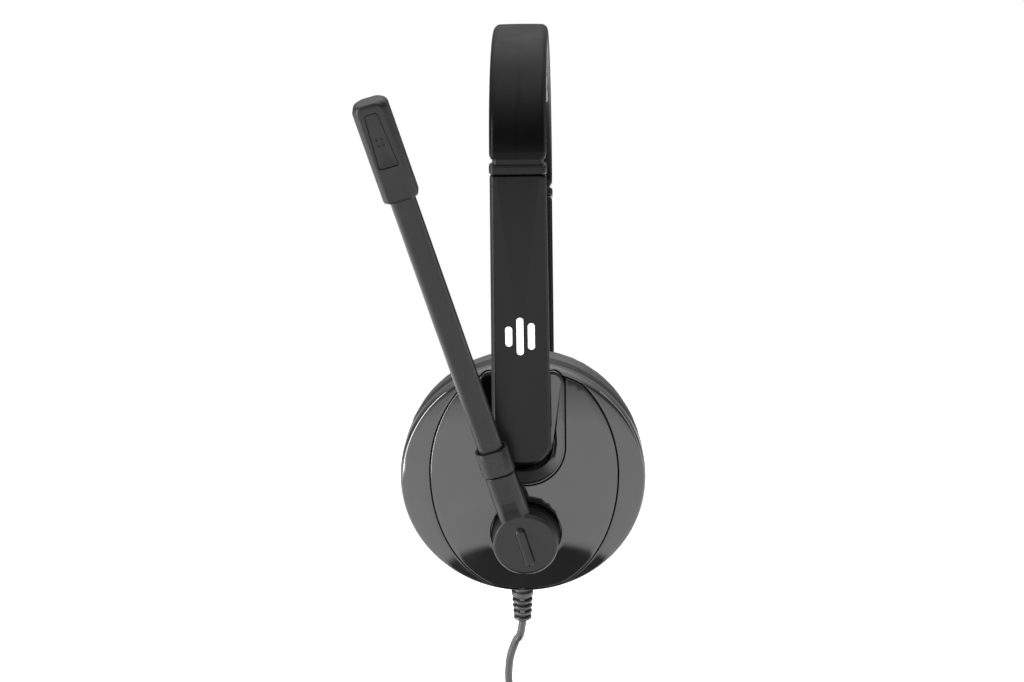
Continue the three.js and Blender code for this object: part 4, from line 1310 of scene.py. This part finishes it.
def port_outline(inset):
    """The tapered panel's outline along and across the boom."""
    low, high = 3.1 - inset, 2.1 - inset
    corners = [(PORT_FROM + inset, -low), (PORT_TO - inset, -high), (PORT_TO - inset, high), (PORT_FROM + inset, low)]
    return softened([(*corner, 0.9) for corner in corners], 6)


def port_plate(levels):
    return skinned([[boom_at(s, out, y) for s, y in port_outline(inset)] for out, inset in levels])


def sound_slots():
    """Two rows of two short sound slots."""
    cuts = []
    for s in (138.6, 140.4):
        for y in (-0.75, 0.75):
            slot = rounded(0.55, 0.36, 0.3, 5)
            cuts.append(skinned([[boom_at(s + a, out, y + b) for a, b in slot] for out in (3.2, 5)]))
    return several(*cuts)


finished("boom_pivot", boom_hub(), "boom", "boom", ["boom_hub"], crease=60)
collar = placed(collar_mouth(HOLDER_END + 0.3, COLLAR_END, 3.95, 5.15, 3.2, 1.8), BOOM)
finished("boom_sleeve", collar, "boom", "boom", ["boom_collar"])
tube_section = crowned(3, 3.85, 2.2)
tube = boom_bar([(s, tube_section) for s in (COLLAR_END - 1.7, *range(36, 122, 6), 123.5)])
finished("boom_stalk", placed(tube, BOOM), "boom", "boom", ["boom_tube"])
socket = boom_bar([(HEAD_START - 1, rounded(3.2, 4.05, 2.6)), (HEAD_START + 3.6, rounded(3.2, 4.05, 2.6))])
recess = port_plate([(3.5, 0.12), (3.6, 0.05), (6, 0)])
head = combined(placed(mic_head(), BOOM), [placed(socket, BOOM), placed(recess, BOOM)])
finished("microphone_shell", head, "boom", "boom", ["mic_head"])
plate = placed(port_plate([(3.3, 0.25), (3.66, 0.25), (3.76, 0.32), (3.8, 0.45)]), BOOM)
plate = combined(plate, [placed(sound_slots(), BOOM)])
finished("microphone_port", plate, "boom", "boom", ["port_panel"])

# ---------- stage and light ----------


def stage():
    low = CAD_BOX[0].z - 0.03
    bpy.ops.mesh.primitive_plane_add(size=12, location=(0, 0, low))
    floor = bpy.context.object
    floor.name = "studio_floor"
    material, tree, shader = blank("studio_white")
    tint = node(tree, "ShaderNodeTexNoise", {"Scale": 2.0})
    tree.links.new(mixed(tree, tint.outputs[0], (0.86, 0.86, 0.86, 1), (0.88, 0.88, 0.88, 1)),
                   shader.inputs["Base Color"])
    shader.inputs["Roughness"].default_value = 0.9
    shader.inputs["Emission Color"].default_value = (1, 1, 1, 1)
    shader.inputs["Emission Strength"].default_value = 0.55
    floor.data.materials.append(material)
    floor.visible_glossy = floor.visible_diffuse = False
    fill_the_studio()


STUDIO_BANDS = (  # how bright the surroundings are, from straight down to straight up
    (0.0, 0.2), (0.04, 0.2), (0.048, 3.2), (0.13, 3.4), (0.34, 3.4), (0.44, 2.2), (0.5, 0.7), (0.57, 0.25),
    (0.75, 0.5), (0.9, 2.2), (1.0, 3.2))


def fill_the_studio():
    """Seen directly the studio is plain white. As light it follows STUDIO_BANDS, which the camera never sees."""
    world = bpy.data.worlds.new("studio")
    world.use_nodes = True
    tree = world.node_tree
    way = node(tree, "ShaderNodeTexCoord").outputs["Generated"]
    height = node(tree, "ShaderNodeSeparateXYZ", {0: way}).outputs["Z"]
    share = node(tree, "ShaderNodeMapRange", {"Value": height, "From Min": -1.0, "From Max": 1.0}).outputs[0]
    bands = node(tree, "ShaderNodeFloatCurve", {"Value": share})
    curve = bands.mapping.curves[0]
    top = max(level for _, level in STUDIO_BANDS)
    for i, (at, level) in enumerate(STUDIO_BANDS):
        if i in (0, len(STUDIO_BANDS) - 1):
            curve.points[0 if i == 0 else -1].location = (at, level / top)
        else:
            curve.points.new(at, level / top)
    for point in curve.points:
        point.handle_type = "VECTOR"
    bands.mapping.update()
    glow = number(tree, bands.outputs[0], top, "MULTIPLY")
    direct = node(tree, "ShaderNodeLightPath").outputs["Is Camera Ray"]
    strength = node(tree, "ShaderNodeMix", {"Factor": direct, "A": glow, "B": 1.0})
    tree.links.new(strength.outputs[0], tree.nodes["Background"].inputs[1])
    tree.nodes["Background"].inputs[0].default_value = (1, 1, 1, 1)
    SCENE.world = world


def soft_light(name, at, towards, width, height, power):
    data = bpy.data.lights.new(name, "AREA")
    data.shape = "RECTANGLE"
    data.size, data.size_y = width, height
    data.energy = power
    light = bpy.data.objects.new(name, data)
    light.location = at
    light.rotation_euler = (Vector(towards) - Vector(at)).to_track_quat("-Z", "Y").to_euler()
    SCENE.collection.objects.link(light)


stage()
MIDDLE = (0.04, 0, -0.11)
soft_light("front_left", (0.3, -0.75, -0.1), MIDDLE, 0.2, 0.9, 14)
soft_light("overhead", (0.25, 0.1, 0.9), MIDDLE, 0.6, 0.6, 2)
soft_light("back_right", (-0.2, 0.8, 0.1), MIDDLE, 0.25, 0.8, 2)
SCENE.view_settings.view_transform = "Standard"
